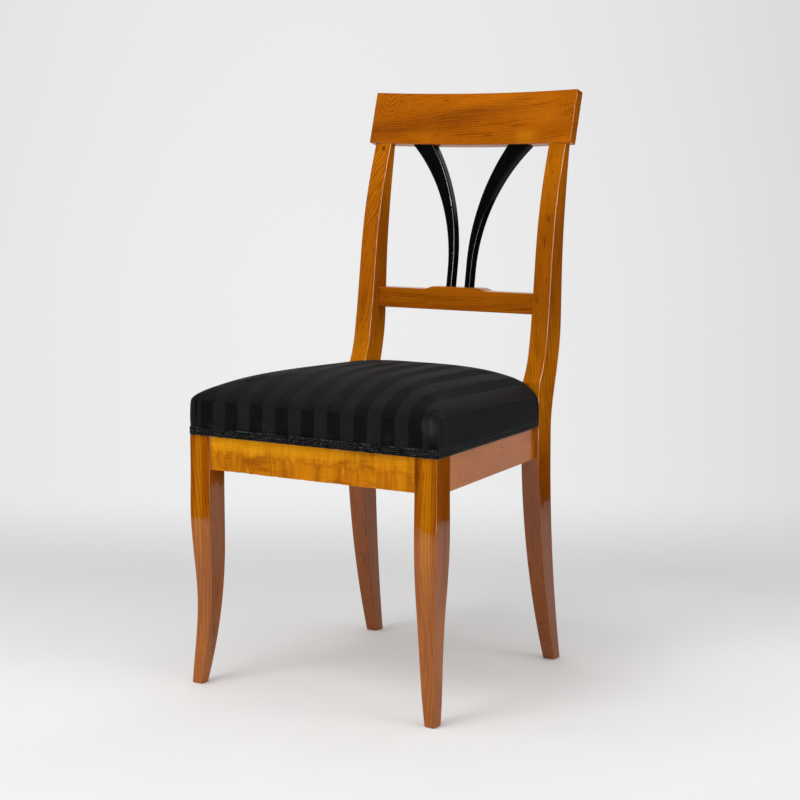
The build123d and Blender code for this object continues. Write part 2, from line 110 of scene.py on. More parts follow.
class SeatSettings(PropertyGroup):
    stripe: FloatProperty(
        name="Stripe width",
        description="Width of one stripe of the cover",
        default=0.0231,
        min=0.002,
        subtype="DISTANCE",
        unit="LENGTH",
    )
    dull: FloatVectorProperty(
        name="Dull stripe",
        description="Colour of the dull stripes",
        default=(0.0024, 0.0024, 0.0026),
        size=3,
        subtype="COLOR",
        min=0.0,
        max=1.0,
    )
    bright: FloatVectorProperty(
        name="Bright stripe",
        description="Colour of the stripes that catch the light",
        default=(0.0078, 0.0078, 0.0082),
        size=3,
        subtype="COLOR",
        min=0.0,
        max=1.0,
    )
    cloth: FloatProperty(
        name="Cover thickness",
        description="Thickness of the cover",
        default=0.0012,
        min=0.0003,
        subtype="DISTANCE",
        unit="LENGTH",
    )
    crown: FloatProperty(
        name="Crown reach",
        description="Distance in from the edge over which the seat rises to its crown",
        default=0.130,
        min=0.05,
        subtype="DISTANCE",
        unit="LENGTH",
    )
    loop_pitch: FloatProperty(
        name="Gimp pitch",
        description="Distance between two loops of the gimp's cords",
        default=0.0026,
        min=0.0012,
        subtype="DISTANCE",
        unit="LENGTH",
    )
    cord: FloatProperty(
        name="Gimp cord",
        description="Thickness of the gimp's cords",
        default=0.0013,
        min=0.0003,
        subtype="DISTANCE",
        unit="LENGTH",
    )


class StageSettings(PropertyGroup):
    half_width: FloatProperty(
        name="Half the floor's width",
        description="How far the white floor runs to each side of the line from the camera to the chair",
        default=1.5,
        min=0.5,
        subtype="DISTANCE",
        unit="LENGTH",
    )
    front: FloatProperty(
        name="Floor in front",
        description="How far the white floor runs towards the camera",
        default=2.6,
        min=0.5,
        subtype="DISTANCE",
        unit="LENGTH",
    )
    behind: FloatProperty(
        name="Floor behind",
        description="How far the white floor runs behind the chair",
        default=2.4,
        min=0.5,
        subtype="DISTANCE",
        unit="LENGTH",
    )
    backdrop: FloatProperty(
        name="Backdrop brightness",
        description="Brightness of the pale studio behind the chair",
        default=0.81,
        min=0.0,
    )
    key: FloatProperty(
        name="Lamp power",
        description="Power of the soft box in front of the chair",
        default=17.0,
        min=0.0,
        unit="POWER",
    )
    fill: FloatProperty(
        name="Fill",
        description="Strength of the light that the white studio throws back",
        default=0.64,
        min=0.0,
    )
    strip: FloatProperty(
        name="Strip light",
        description="Brightness of the tall narrow window that the polish mirrors along its edges",
        default=36.0,
        min=0.0,
    )


# Measures taken from the frame


def node_arrays(name):
    """The corners and triangles of a CAD node."""
    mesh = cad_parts[name].data
    mesh.calc_loop_triangles()
    places = np.empty(len(mesh.vertices) * 3)
    mesh.vertices.foreach_get("co", places)
    corners = np.empty(len(mesh.loop_triangles) * 3, dtype=np.int64)
    mesh.loop_triangles.foreach_get("vertices", corners)
    return places.reshape(-1, 3), corners.reshape(-1, 3)


def cut_spans(places, triangles, axis, cuts):
    """Lowest and highest point of the section at each cut along an axis: an array of (cut, low or high, axis)."""
    edges = np.concatenate([triangles[:, [0, 1]], triangles[:, [1, 2]], triangles[:, [2, 0]]])
    start, end = places[edges[:, 0]], places[edges[:, 1]]
    spans = []
    for cut in cuts:
        below, above = start[:, axis] - cut, end[:, axis] - cut
        crossing = (below * above <= 0) & (np.abs(below - above) > 1e-9)
        if not crossing.any():
            raise RuntimeError(f"nothing of the node lies at {cut:.4f} along axis {axis}")
        share = below[crossing] / (below[crossing] - above[crossing])
        points = start[crossing] + (end[crossing] - start[crossing]) * share[:, None]
        spans.append((points.min(axis=0), points.max(axis=0)))
    return np.array(spans)


def broad_normal(name, facing):
    """The direction of the largest flat triangle of a CAD node that faces about one way."""
    places, triangles = node_arrays(name)
    first, second, third = (places[triangles[:, corner]] for corner in range(3))
    normals = np.cross(second - first, third - first)
    size = np.linalg.norm(normals, axis=1)
    towards = normals @ np.array(facing) / np.maximum(size, 1e-12)
    best = np.argmax(np.where(towards > 0.8, size, 0))
    return normals[best] / size[best]


def inside_span(low, high, steps, margin=1e-4):
    """Evenly spaced places from just inside one end to just inside the other."""
    return np.linspace(low + margin, high - margin, steps)


# Meshes


def new_object(name, vertices, faces, material, smooth=True, sharp=50):
    """A mesh object at the origin, with its place in its mesh."""
    mesh = bpy.data.meshes.new(name)
    mesh.from_pydata([tuple(v) for v in vertices], [], [tuple(f) for f in faces])
    mesh.update()
    piece = bpy.data.objects.new(name, mesh)
    bpy.context.scene.collection.objects.link(piece)
    mesh.materials.append(material)
    if smooth:
        mesh.shade_smooth()
        mesh.set_sharp_from_angle(angle=math.radians(sharp))
    return piece


def loft(rings, closed=False, capped=True):
    """Vertices and faces of a skin over rings that have the same number of points."""
    count = len(rings[0])
    vertices = [point for ring in rings for point in ring]
    faces = []
    pairs = len(rings) if closed else len(rings) - 1
    for number in range(pairs):
        a, b = number * count, (number + 1) % len(rings) * count
        for step in range(count):
            following = (step + 1) % count
            faces.append((a + step, a + following, b + following, b + step))
    if capped and not closed:
        faces.append(tuple(reversed(range(count))))
        faces.append(tuple(range(len(vertices) - count, len(vertices))))
    return vertices, faces


def face_outwards(piece):
    """Turns a closed mesh's faces outwards."""
    shape = bmesh.new()
    shape.from_mesh(piece.data)
    bmesh.ops.recalc_face_normals(shape, faces=shape.faces)
    shape.to_mesh(piece.data)
    shape.free()


def soft_rectangle(low_a, high_a, low_b, high_b, radius, steps=4):
    """Points round a rectangle with rounded corners, in two axes. One radius for all, or one for each corner."""
    radii = radius if isinstance(radius, (list, tuple)) else (radius,) * 4
    corners = [(low_a, low_b), (high_a, low_b), (high_a, high_b), (low_a, high_b)]
    inward = [(1, 1), (-1, 1), (-1, -1), (1, -1)]
    points = []
    for number, ((a, b), (in_a, in_b), size) in enumerate(zip(corners, inward, radii)):
        start = math.pi + number * math.pi / 2
        for step in range(steps + 1):
            angle = start + step / steps * math.pi / 2
            points.append((a + in_a * size + size * math.cos(angle), b + in_b * size + size * math.sin(angle)))
    return points


def keep_flats(piece):
    """Shades broad flat faces flat and only the rounded edges round."""
    even = piece.modifiers.new("Flat faces", "WEIGHTED_NORMAL")
    even.weight = 100
    even.keep_sharp = True


def finish(piece, slot, *nodes):
    """Puts a finished piece on the chair's body, in place of the CAD nodes that it stands for."""
    if nodes:
        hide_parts(*nodes)
    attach(piece, "root")
    return piece


# Materials


class Shader:
    """A material's node tree, built with one call a node."""

    def __init__(self, name):
        self.material = bpy.data.materials.new(name)
        self.material.use_nodes = True
        self.tree = self.material.node_tree
        self.tree.nodes.clear()
        self.output = self.tree.nodes.new("ShaderNodeOutputMaterial")
        self.surface = self.tree.nodes.new("ShaderNodeBsdfPrincipled")
        self.link(self.surface.outputs["BSDF"], self.output.inputs["Surface"])

    def link(self, source, target):
        self.tree.links.new(source, target)

    def node(self, kind, inputs=None, **settings):
        made = self.tree.nodes.new("ShaderNode" + kind)
        for name, value in settings.items():
            setattr(made, name, value)
        for name, value in (inputs or {}).items():
            if isinstance(value, bpy.types.NodeSocket):
                self.link(value, made.inputs[name])
            else:
                made.inputs[name].default_value = value
        return made

    def math(self, operation, first, second=0.0, third=0.0, clamp=False):
        return self.node("Math", {0: first, 1: second, 2: third}, operation=operation, use_clamp=clamp).outputs[0]

    def vector(self, operation, first, second=(0, 0, 0)):
        made = self.node("VectorMath", {0: first, 1: second}, operation=operation)
        return made.outputs["Value"] if operation in ("LENGTH", "DOT_PRODUCT", "DISTANCE") else made.outputs[0]

    def noise(self, place, scale, detail=2.0, roughness=0.5, distortion=0.0):
        inputs = {"Vector": place, "Scale": scale, "Detail": detail, "Roughness": roughness, "Distortion": distortion}
        return self.node("TexNoise", inputs).outputs["Fac"]

    def stretched(self, place, scale, shift=(0, 0, 0), turn=(0, 0, 0)):
        inputs = {"Vector": place, "Location": shift, "Rotation": turn, "Scale": scale}
        return self.node("Mapping", inputs).outputs[0]

    def between(self, value, low, high, to_low=0.0, to_high=1.0, smooth=True):
        inputs = {"Value": value, "From Min": low, "From Max": high, "To Min": to_low, "To Max": to_high}
        kind = "SMOOTHSTEP" if smooth else "LINEAR"
        return self.node("MapRange", inputs, interpolation_type=kind, clamp=True).outputs["Result"]

    def mix(self, share, first, second, blend="MIX"):
        made = self.node("Mix", data_type="RGBA", blend_type=blend)
        for socket, value in ((0, share), (6, first), (7, second)):
            if isinstance(value, bpy.types.NodeSocket):
                self.link(value, made.inputs[socket])
            elif socket:
                made.inputs[socket].default_value = (*value[:3], 1)
            else:
                made.inputs[socket].default_value = value
        return made.outputs[2]

    def bump(self, height, distance, strength=1.0, normal=None):
        inputs = {"Height": height, "Distance": distance, "Strength": strength}
        if normal is not None:
            inputs["Normal"] = normal
        return self.node("Bump", inputs).outputs[0]

    def finish(self, colour, roughness, normal=None, **fixed):
        self.link(colour, self.surface.inputs["Base Color"])
        if isinstance(roughness, bpy.types.NodeSocket):
            self.link(roughness, self.surface.inputs["Roughness"])
        else:
            self.surface.inputs["Roughness"].default_value = roughness
        if normal is not None:
            self.link(normal, self.surface.inputs["Normal"])
        for name, value in fixed.items():
            socket = self.surface.inputs[name.replace("_", " ")]
            socket.default_value = (*value, 1) if isinstance(value, tuple) and len(value) == 3 else value
        return self.material


# How each grain direction is turned to lie along the texture's first axis
GRAIN_TURN = {
    ACROSS: (0, 0, 0),
    ALONG: (0, 0, -math.pi / 2),
    UP: (0, math.pi / 2, 0),
}


def polished_cherry(name, grain, seed, tilt=0.03, tone=1.0, curl=0.06, streak=0.25, heart=0.035, extra=None):
    """Shellac-polished cherry: rings, fibres, pores, curl and darker streaks, with the grain along one axis."""
    wood = bpy.context.scene.chair_wood
    s = Shader(name)
    place = s.node("TexCoord").outputs["Object"]
    board = s.stretched(place, (1, 1, 1), turn=GRAIN_TURN[grain])
    board = s.stretched(board, (1, 1, 1), shift=(seed * 1.7, seed * 0.31, seed * 0.23), turn=(0, tilt, tilt * 0.6))
    slow = s.stretched(board, (2.6, 9, 9))
    warp = s.node("TexNoise", {"Vector": slow, "Scale": 1.0, "Detail": 2.0}).outputs["Color"]
    warp = s.vector("SUBTRACT", warp, (0.5, 0.5, 0.5))
    warped = s.vector("ADD", board, s.vector("MULTIPLY", warp, (0, 0.030, 0.030)))
    across = s.vector("MULTIPLY", warped, (0, 1, 1))
    middle = (0, round(seed * 0.31 / 0.05) * 0.05 + heart, round(seed * 0.23 / 0.05) * 0.05 + heart * 0.8)
    radius = s.vector("DISTANCE", across, middle)
    rings = s.math("DIVIDE", radius, wood.ring_pitch)
    uneven = s.noise(s.stretched(board, (3, 60, 60)), 1.0, 1.0)
    rings = s.math("ADD", rings, s.math("MULTIPLY", uneven, 1.6))
    late = s.math("FRACT", rings)
    late = s.math("MULTIPLY", s.between(late, 0.25, 0.93), s.between(late, 1.0, 0.955))
    strength = s.between(s.noise(s.stretched(board, (4, 25, 25)), 1.0, 1.0), 0.3, 0.75, 0.25, 1.3)
    late = s.math("MULTIPLY", late, strength)
    fibre = s.noise(s.stretched(warped, (28, 900, 900)), 1.0, 3.0, 0.6)
    pores = s.noise(s.stretched(warped, (160, 3600, 3600)), 1.0, 1.0)
    pores = s.between(pores, 0.66, 0.76)
    patches = s.noise(s.stretched(warped, (5, 22, 22)), 1.0, 3.0, 0.55)
    streaks = s.between(s.noise(s.stretched(warped, (3.2, 75, 75)), 1.0, 2.0), 0.55, 0.75)
    curls = s.noise(s.stretched(board, (75, 14, 14), turn=(0, 0, 0.22)), 1.0, 2.0, 0.5, 0.4)
    share = s.math("ADD", s.math("MULTIPLY", late, 0.34), s.math("MULTIPLY", s.between(patches, 0.3, 0.72), 0.36))
    share = s.math("ADD", share, s.math("MULTIPLY", streaks, streak))
    share = s.math("ADD", share, s.math("MULTIPLY", s.math("SUBTRACT", fibre, 0.5), 0.5))
    share = s.math("ADD", share, s.math("MULTIPLY", s.math("SUBTRACT", curls, 0.5), -curl * 4), clamp=True)
    colour = s.mix(share, tuple(c * tone for c in wood.light), tuple(c * tone for c in wood.dark))
    lines = s.between(s.noise(s.stretched(warped, (7, 330, 330)), 1.0, 2.0), 0.60, 0.72)
    colour = s.mix(s.math("MULTIPLY", lines, 0.55), colour, tuple(c * tone * 0.7 for c in wood.dark))
    if extra:
        colour = extra(s, place, board, colour)
    colour = s.mix(s.math("MULTIPLY", pores, 0.60), colour, tuple(c * 0.35 for c in wood.dark))
    edge = s.node("Bevel", {"Radius": 0.0022}, samples=4).outputs[0]
    flat = s.node("NewGeometry").outputs["Normal"]
    worn = s.between(s.vector("DOT_PRODUCT", edge, flat), 0.995, 0.90)
    worn = s.math("MULTIPLY", worn, s.between(s.noise(place, 45, 3), 0.42, 0.62, 0.15, 0.75))
    colour = s.mix(s.math("MULTIPLY", worn, 0.55), colour, tuple(min(1, c * 1.55 + 0.02) for c in wood.light))
    height = s.math("ADD", s.math("MULTIPLY", fibre, 0.35), s.math("MULTIPLY", pores, -0.8))
    grainy = s.bump(height, 0.00012, 0.6)
    polish = s.bump(s.noise(place, 38, 2), 0.0011, 0.22)
    rough = s.between(s.noise(s.stretched(place, (9, 9, 9)), 1.0, 4.0), 0.3, 0.7, 0.34, 0.48)
    s.link(polish, s.surface.inputs["Coat Normal"])
    return s.finish(
        colour,
        rough,
        grainy,
        Coat_Weight=0.88,
        Coat_Roughness=0.05,
        Coat_IOR=1.5,
        Specular_IOR_Level=0.0,
    )


def ebonised(name, gloss):
    """Black-stained pear, French polished."""
    wood = bpy.context.scene.chair_wood
    s = Shader(name)
    place = s.node("TexCoord").outputs["Object"]
    fibre = s.noise(s.stretched(place, (900, 900, 30)), 1.0, 3.0)
    cloudy = s.noise(place, 30, 3)
    colour = s.mix(s.between(fibre, 0.3, 0.8), tuple(wood.ebony), tuple(c * 2.2 for c in wood.ebony))
    edge = s.node("Bevel", {"Radius": 0.0016}, samples=4).outputs[0]
    flat = s.node("NewGeometry").outputs["Normal"]
    worn = s.between(s.vector("DOT_PRODUCT", edge, flat), 0.99, 0.85)
    worn = s.math("MULTIPLY", worn, s.between(s.noise(place, 80, 3), 0.5, 0.68, 0.0, 0.6))
    colour = s.mix(worn, colour, (0.035, 0.018, 0.010))
    s.link(s.bump(cloudy, 0.0004, 0.08), s.surface.inputs["Coat Normal"])
    grainy = s.bump(fibre, 0.0001, 0.4)
    rough = s.between(cloudy, 0.3, 0.7, 0.22, 0.34)
    return s.finish(colour, rough, grainy, Coat_Weight=gloss, Coat_Roughness=0.04, Coat_IOR=1.5, Specular_IOR_Level=0.0)


def plain_wood(name, light, dark, grain, seed):
    """Unpolished inner wood, with plane marks and some dust."""
    s = Shader(name)
    place = s.node("TexCoord").outputs["Object"]
    board = s.stretched(place, (1, 1, 1), shift=(seed, seed * 0.4, 0), turn=GRAIN_TURN[grain])
    rings = s.noise(s.stretched(board, (5, 160, 160)), 1.0, 2.0)
    fibre = s.noise(s.stretched(board, (40, 1100, 1100)), 1.0, 3.0)
    share = s.math("ADD", s.between(rings, 0.4, 0.62), s.math("MULTIPLY", s.math("SUBTRACT", fibre, 0.5), 0.7), clamp=True)
    colour = s.mix(share, light, dark)
    dust = s.between(s.noise(place, 22, 4), 0.5, 0.7, 0.0, 0.35)
    colour = s.mix(dust, colour, (0.12, 0.085, 0.055))
    marks = s.math("ADD", s.math("MULTIPLY", fibre, 0.5), s.noise(s.stretched(board, (90, 8, 8)), 1.0, 1.0))
    return s.finish(colour, 0.72, s.bump(marks, 0.0004, 0.5))


def arcs(s, place, middle, reach, pitch):
    """Nested arcs of grain round a place on the front of the chair, fading outwards."""
    waver = s.noise(s.stretched(place, (34, 34, 34)), 1.0, 3.0, 0.6)
    away = s.vector("DISTANCE", s.stretched(place, (1.6, 0, 1)), (middle[0] * 1.6, 0, middle[1]))
    rings = s.math("FRACT", s.math("ADD", s.math("DIVIDE", away, pitch), s.math("MULTIPLY", waver, 2.6)))
    line = s.math("MULTIPLY", s.between(rings, 0.2, 0.9), s.between(rings, 1.0, 0.93))
    return s.math("MULTIPLY", line, s.between(away, reach, reach * 0.45))


def crest_figure(s, place, board, colour):
    """The crest rail's dark band, running up from the left, its swirls and its yellow patch."""
    across, _, up = (s.node("SeparateXYZ", {0: place}).outputs[n] for n in range(3))
    waver = s.math("MULTIPLY", s.math("SUBTRACT", s.noise(s.stretched(place, (9, 9, 40)), 1.0, 3.0), 0.5), 0.03)
    slope = s.math("MULTIPLY", s.math("SUBTRACT", across, -0.0875), 0.16)
    line = s.math("ADD", s.math("SUBTRACT", s.math("SUBTRACT", up, 0.848), slope), waver)
    band = s.math("SUBTRACT", 1.0, s.between(s.math("ABSOLUTE", line), 0.003, 0.022))
    band = s.math("MULTIPLY", band, s.between(across, 0.13, -0.02))
    threads = s.between(s.noise(s.stretched(place, (7, 1, 230), turn=(0, -0.1, 0)), 1.0, 2.0), 0.4, 0.62, 0.55, 1.0)
    band = s.math("MULTIPLY", band, threads)
    colour = s.mix(s.math("MULTIPLY", band, 0.75), colour, (0.19, 0.043, 0.003))
    swirls = s.math("MAXIMUM", arcs(s, place, (0.197, 0.906), 0.100, 0.0074), arcs(s, place, (-0.160, 0.908), 0.070, 0.0090))
    colour = s.mix(s.math("MULTIPLY", swirls, 0.44), colour, (0.15, 0.036, 0.002))
    spot = s.vector("DISTANCE", s.stretched(place, (0.8, 0, 1.25)), (0.0792, 0, 1.036))
    spot = s.math("SUBTRACT", 1.0, s.between(s.math("ADD", spot, s.math("MULTIPLY", waver, 1.2)), 0.0, 0.026))
    return s.mix(s.math("MULTIPLY", spot, 0.45), colour, (0.60, 0.235, 0.005))


def veneer_figure(s, place, board, colour):
    """The front veneer's golden curl, its darker clouds and its upright cracks."""
    curls = s.noise(s.stretched(place, (85, 10, 15), turn=(0, 0.16, 0)), 1.0, 3.0, 0.55, 0.5)
    golden = s.mix(s.between(curls, 0.32, 0.68), (0.74, 0.262, 0.006), (0.46, 0.138, 0.003))
    colour = s.mix(0.78, colour, golden)
    across, _, up = (s.node("SeparateXYZ", {0: place}).outputs[n] for n in range(3))
    wander = s.math("SUBTRACT", s.noise(s.stretched(place, (70, 1, 14)), 1.0, 3.0, 0.65), 0.5)
    level = s.math("ADD", up, s.math("MULTIPLY", wander, 0.034))
    upper = s.between(level, 0.3530, 0.3700)
    upper = s.math("MULTIPLY", upper, s.between(across, 0.20, -0.14, 0.35, 1.0))
    colour = s.mix(s.math("MULTIPLY", upper, 0.50), colour, (0.94, 0.42, 0.008))
    band = s.between(s.math("ABSOLUTE", s.math("SUBTRACT", level, 0.3570)), 0.0040, 0.0010)
    colour = s.mix(s.math("MULTIPLY", band, 0.28), colour, (0.34, 0.088, 0.003))
    flame = s.noise(s.stretched(place, (120, 10, 26), turn=(0, -0.12, 0)), 1.0, 2.0, 0.6, 0.7)
    colour = s.mix(s.between(flame, 0.60, 0.74, 0.0, 0.6), colour, (0.80, 0.34, 0.016))
    clouds = s.noise(s.stretched(place, (13, 10, 60)), 1.0, 3.0, 0.6)
    colour = s.mix(s.between(clouds, 0.54, 0.72, 0.0, 0.7), colour, (0.30, 0.082, 0.003))
    lines = s.between(s.noise(s.stretched(place, (420, 10, 16)), 1.0, 2.0), 0.66, 0.74, 0.0, 0.45)
    colour = s.mix(lines, colour, (0.17, 0.043, 0.003))
    grain = s.between(s.noise(s.stretched(place, (12, 10, 520)), 1.0, 2.0), 0.56, 0.70, 0.0, 0.30)
    return s.mix(grain, colour, (0.20, 0.052, 0.003))


def leg_band(s, place, board, colour):
    """The paler band up the middle of a front leg's front."""
    across, along, up = (s.node("SeparateXYZ", {0: place}).outputs[n] for n in range(3))
    from_middle = s.math("SUBTRACT", s.math("ABSOLUTE", across), 0.2035)
    sway = s.math("MULTIPLY", s.math("SUBTRACT", s.noise(s.stretched(place, (60, 60, 3)), 1.0, 2.0), 0.5), 0.012)
    from_middle = s.math("ABSOLUTE", s.math("ADD", from_middle, sway))
    band = s.between(from_middle, 0.0085, 0.0050)
    band = s.math("MULTIPLY", band, s.between(up, 0.14, 0.30))
    edges = s.math("SUBTRACT", 1.0, s.between(from_middle, 0.0160, 0.0100))
    edges = s.math("MULTIPLY", edges, s.between(up, 0.20, 0.36, 0.3, 1.0))
    colour = s.mix(s.math("MULTIPLY", edges, 0.5), colour, s.mix(1.0, colour, (0.66, 0.58, 0.7), "MULTIPLY"))
    return s.mix(s.math("MULTIPLY", band, 0.9), colour, s.mix(1.0, colour, (1.42, 1.72, 1.1), "MULTIPLY"))


def post_tones_and_under_seat_shade(s, place, colour):
    """The rear posts are paler and more golden above the seat, and painted darker below it: painted shade under the
    seat.
    """
    up = s.node("SeparateXYZ", {0: place}).outputs[2]
    low = s.between(up, 0.30, 0.43)
    # Painted shade: below the seat the posts' colour is multiplied darker, where the seat shades them
    colour = s.mix(low, s.mix(1.0, colour, (0.66, 0.60, 0.6), "MULTIPLY"), colour)
    golden = s.math("MULTIPLY", low, s.between(up, 0.58, 0.47))
    golden = s.math("MAXIMUM", golden, s.math("MULTIPLY", s.between(up, 0.66, 0.76), 0.7))
    return s.mix(golden, colour, s.mix(1.0, colour, (1.42, 1.62, 1.2), "MULTIPLY"))


def right_post(s, place, board, colour):
    """The right post's tones, with the painted shade below the seat."""
    return post_tones_and_under_seat_shade(s, place, colour)


def left_post(s, place, board, colour):
    """The left post's slanting grain near its head, and the peg that shows there."""
    colour = post_tones_and_under_seat_shade(s, place, colour)
    up = s.node("SeparateXYZ", {0: place}).outputs[2]
    turned = s.stretched(place, (1, 1, 1), turn=(0, -0.62, 0))
    bowed = s.math("MULTIPLY", s.noise(s.stretched(turned, (60, 1, 12)), 1.0, 2.0), 1.6)
    lines = s.math("ADD", s.math("MULTIPLY", s.node("SeparateXYZ", {0: turned}).outputs[0], 150), bowed)
    lines = s.between(s.math("ABSOLUTE", s.math("SUBTRACT", s.math("FRACT", lines), 0.5)), 0.16, 0.04)
    slant = s.noise(s.stretched(turned, (230, 1, 9)), 1.0, 2.0)
    slant = s.math("ADD", s.math("MULTIPLY", lines, 0.8), s.math("MULTIPLY", s.between(slant, 0.50, 0.62), 0.4))
    slant = s.math("MULTIPLY", slant, s.between(up, 0.62, 0.70))
    across = s.node("SeparateXYZ", {0: place}).outputs[0]
    slant = s.math("MULTIPLY", slant, s.between(across, -0.1480, -0.1495))
    colour = s.mix(s.math("MULTIPLY", slant, 0.55), colour, (0.15, 0.032, 0.003))
    away = s.vector("DISTANCE", s.stretched(place, (1, 0, 1)), (-0.1607, 0, 0.8085))
    ring = s.math("SUBTRACT", 1.0, s.between(s.math("ABSOLUTE", s.math("SUBTRACT", away, 0.0024)), 0.0002, 0.0012))
    colour = s.mix(s.math("MULTIPLY", ring, 0.9), colour, (0.035, 0.010, 0.003))
    inside = s.math("SUBTRACT", 1.0, s.between(away, 0.0014, 0.0024))
    return s.mix(s.math("MULTIPLY", inside, 0.75), colour, (0.09, 0.024, 0.004))


def striped_satin(plan):
    """Black cover cloth with dull and bright stripes, from the cloth's own unfolded coordinates, with painted light: a
    painted sheen along the front edge, painted shade on the sides, and a painted highlight and a painted fold shadow at
    the right front corner.
    """
    seat = bpy.context.scene.chair_seat
    s = Shader("striped_satin")
    cloth = s.node("UVMap", uv_map="Cloth").outputs[0]
    place = s.node("TexCoord").outputs["Object"]
    run = s.node("SeparateXYZ", {0: cloth})
    number = s.math("DIVIDE", run.outputs[0], seat.stripe * 2)
    number = s.math("ADD", number, 100.5)
    stripe = s.math("ABSOLUTE", s.math("SUBTRACT", s.math("FRACT", number), 0.5))
    stripe = s.between(stripe, 0.243, 0.257)
    across, along, up = (s.node("SeparateXYZ", {0: place}).outputs[n] for n in range(3))
    # Painted sheen: along the rounded front top edge the dull stripes are painted nearly as light as the bright ones
    turned = s.math("MULTIPLY", s.between(up, 0.4325, 0.4365), s.between(along, -0.03, -0.19))
    turned = s.math("MULTIPLY", turned, s.between(across, 0.20, -0.02, 0.35, 1.0))
    stripe = s.math("ADD", stripe, s.math("MULTIPLY", s.math("SUBTRACT", 0.85, stripe), s.math("MULTIPLY", turned, 0.72)))
    weft = s.node("TexWave", {"Vector": cloth, "Scale": 560, "Distortion": 1.2, "Detail": 2.0, "Detail Scale": 3}).outputs["Fac"]
    weft_way = s.node(
        "TexWave",
        {"Vector": cloth, "Scale": 620, "Distortion": 1.5, "Detail": 2.0, "Detail Scale": 3},
        bands_direction="Y",
    ).outputs["Fac"]
    slubs = s.noise(s.stretched(cloth, (90, 900, 1)), 1.0, 3.0)
    fluff = s.noise(s.stretched(cloth, (60, 45, 1)), 1.0, 4.0, 0.6)
    dull = s.mix(s.between(slubs, 0.3, 0.75), tuple(seat.dull), tuple(c * 1.7 for c in seat.dull))
    bright = s.mix(s.between(slubs, 0.3, 0.75), tuple(seat.bright), tuple(c * 1.6 for c in seat.bright))
    colour = s.mix(stripe, dull, bright)
    colour = s.mix(s.between(fluff, 0.52, 0.75, 0.0, 0.38), colour, (0.026, 0.026, 0.028))
    reach = s.math("ADD", s.math("ABSOLUTE", across), s.math("MULTIPLY", s.math("SUBTRACT", along, plan.front), plan.taper))
    # Painted shade: the cover's sides are painted darker than its front and top
    beside = s.math("MULTIPLY", s.between(reach, plan.half - 0.014, plan.half - 0.004), s.between(along, plan.front + 0.012, plan.front + 0.05))
    colour = s.mix(s.math("MULTIPLY", beside, 0.85), colour, (0.0010, 0.0010, 0.0012))
    # Painted highlight: a mottled light patch on the top of the right front corner
    painted_corner_highlight = s.between(s.vector("DISTANCE", place, (0.2070, plan.front, 0.4260)), 0.0175, 0.006)
    painted_corner_highlight = s.math("MULTIPLY", painted_corner_highlight, s.between(s.noise(place, 330, 2), 0.36, 0.62, 0.25, 1.0))
    colour = s.mix(s.math("MULTIPLY", painted_corner_highlight, 0.8), colour, (0.042, 0.042, 0.043))
    # Painted shadow: a dark patch below the right front corner, where the fold's crease lies in shade
    painted_fold_shade = s.between(s.vector("DISTANCE", s.stretched(place, (1, 0.6, 0.75)), (0.2125, plan.front * 0.6, 0.3985 * 0.75)), 0.0085, 0.004)
    colour = s.mix(s.math("MULTIPLY", painted_fold_shade, 0.8), colour, (0.0006, 0.0006, 0.0007))
    ribs = s.math("ADD", s.math("MULTIPLY", weft, stripe), s.math("MULTIPLY", weft_way, 0.7))
    ribs = s.math("ADD", ribs, s.math("MULTIPLY", slubs, 0.8))
    rough = s.math("SUBTRACT", 0.72, s.math("MULTIPLY", stripe, 0.17))
    return s.finish(
        colour,
        rough,
        s.bump(ribs, 0.00025, 0.75),
        Sheen_Weight=0.02,
        Sheen_Roughness=0.35,
        Specular_IOR_Level=0.12,
        IOR=1.3,
    )


def black_cord(low, tall, front):
    """The gimp's black silk-covered cords, with painted glints: pale rows on their ridges, and pale specks on the loops
    on the front.
    """
    s = Shader("black_cord")
    place = s.node("TexCoord").outputs["Object"]
    across, along, up = (s.node("SeparateXYZ", {0: place}).outputs[n] for n in range(3))
    twist = s.noise(s.stretched(place, (900, 900, 1400)), 1.0, 2.0)
    row = s.math("FRACT", s.math("ADD", s.math("DIVIDE", s.math("SUBTRACT", up, low), tall * 0.22), 0.227))
    ridge_glint = s.between(s.math("ABSOLUTE", s.math("SUBTRACT", row, 0.5)), 0.26, 0.08)
    loops = s.between(s.noise(s.stretched(place, (430, 430, 330)), 1.0, 1.0), 0.50, 0.58)
    beside = s.between(along, front + 0.003, front + 0.012)
    threads = s.math("ADD", s.math("MULTIPLY", loops, s.math("SUBTRACT", 1.0, beside)), s.math("MULTIPLY", beside, 0.20))
    colour = s.mix(s.between(twist, 0.35, 0.7), (0.0008, 0.0008, 0.0010), (0.0030, 0.0030, 0.0033))
    # Painted highlights: pale colour on the cords' ridges and loops stands for light glinting on them
    colour = s.mix(s.math("MULTIPLY", ridge_glint, threads), colour, (0.120, 0.120, 0.125))
    return s.finish(colour, 0.45, s.bump(twist, 0.0003, 0.6), Specular_IOR_Level=0.10)


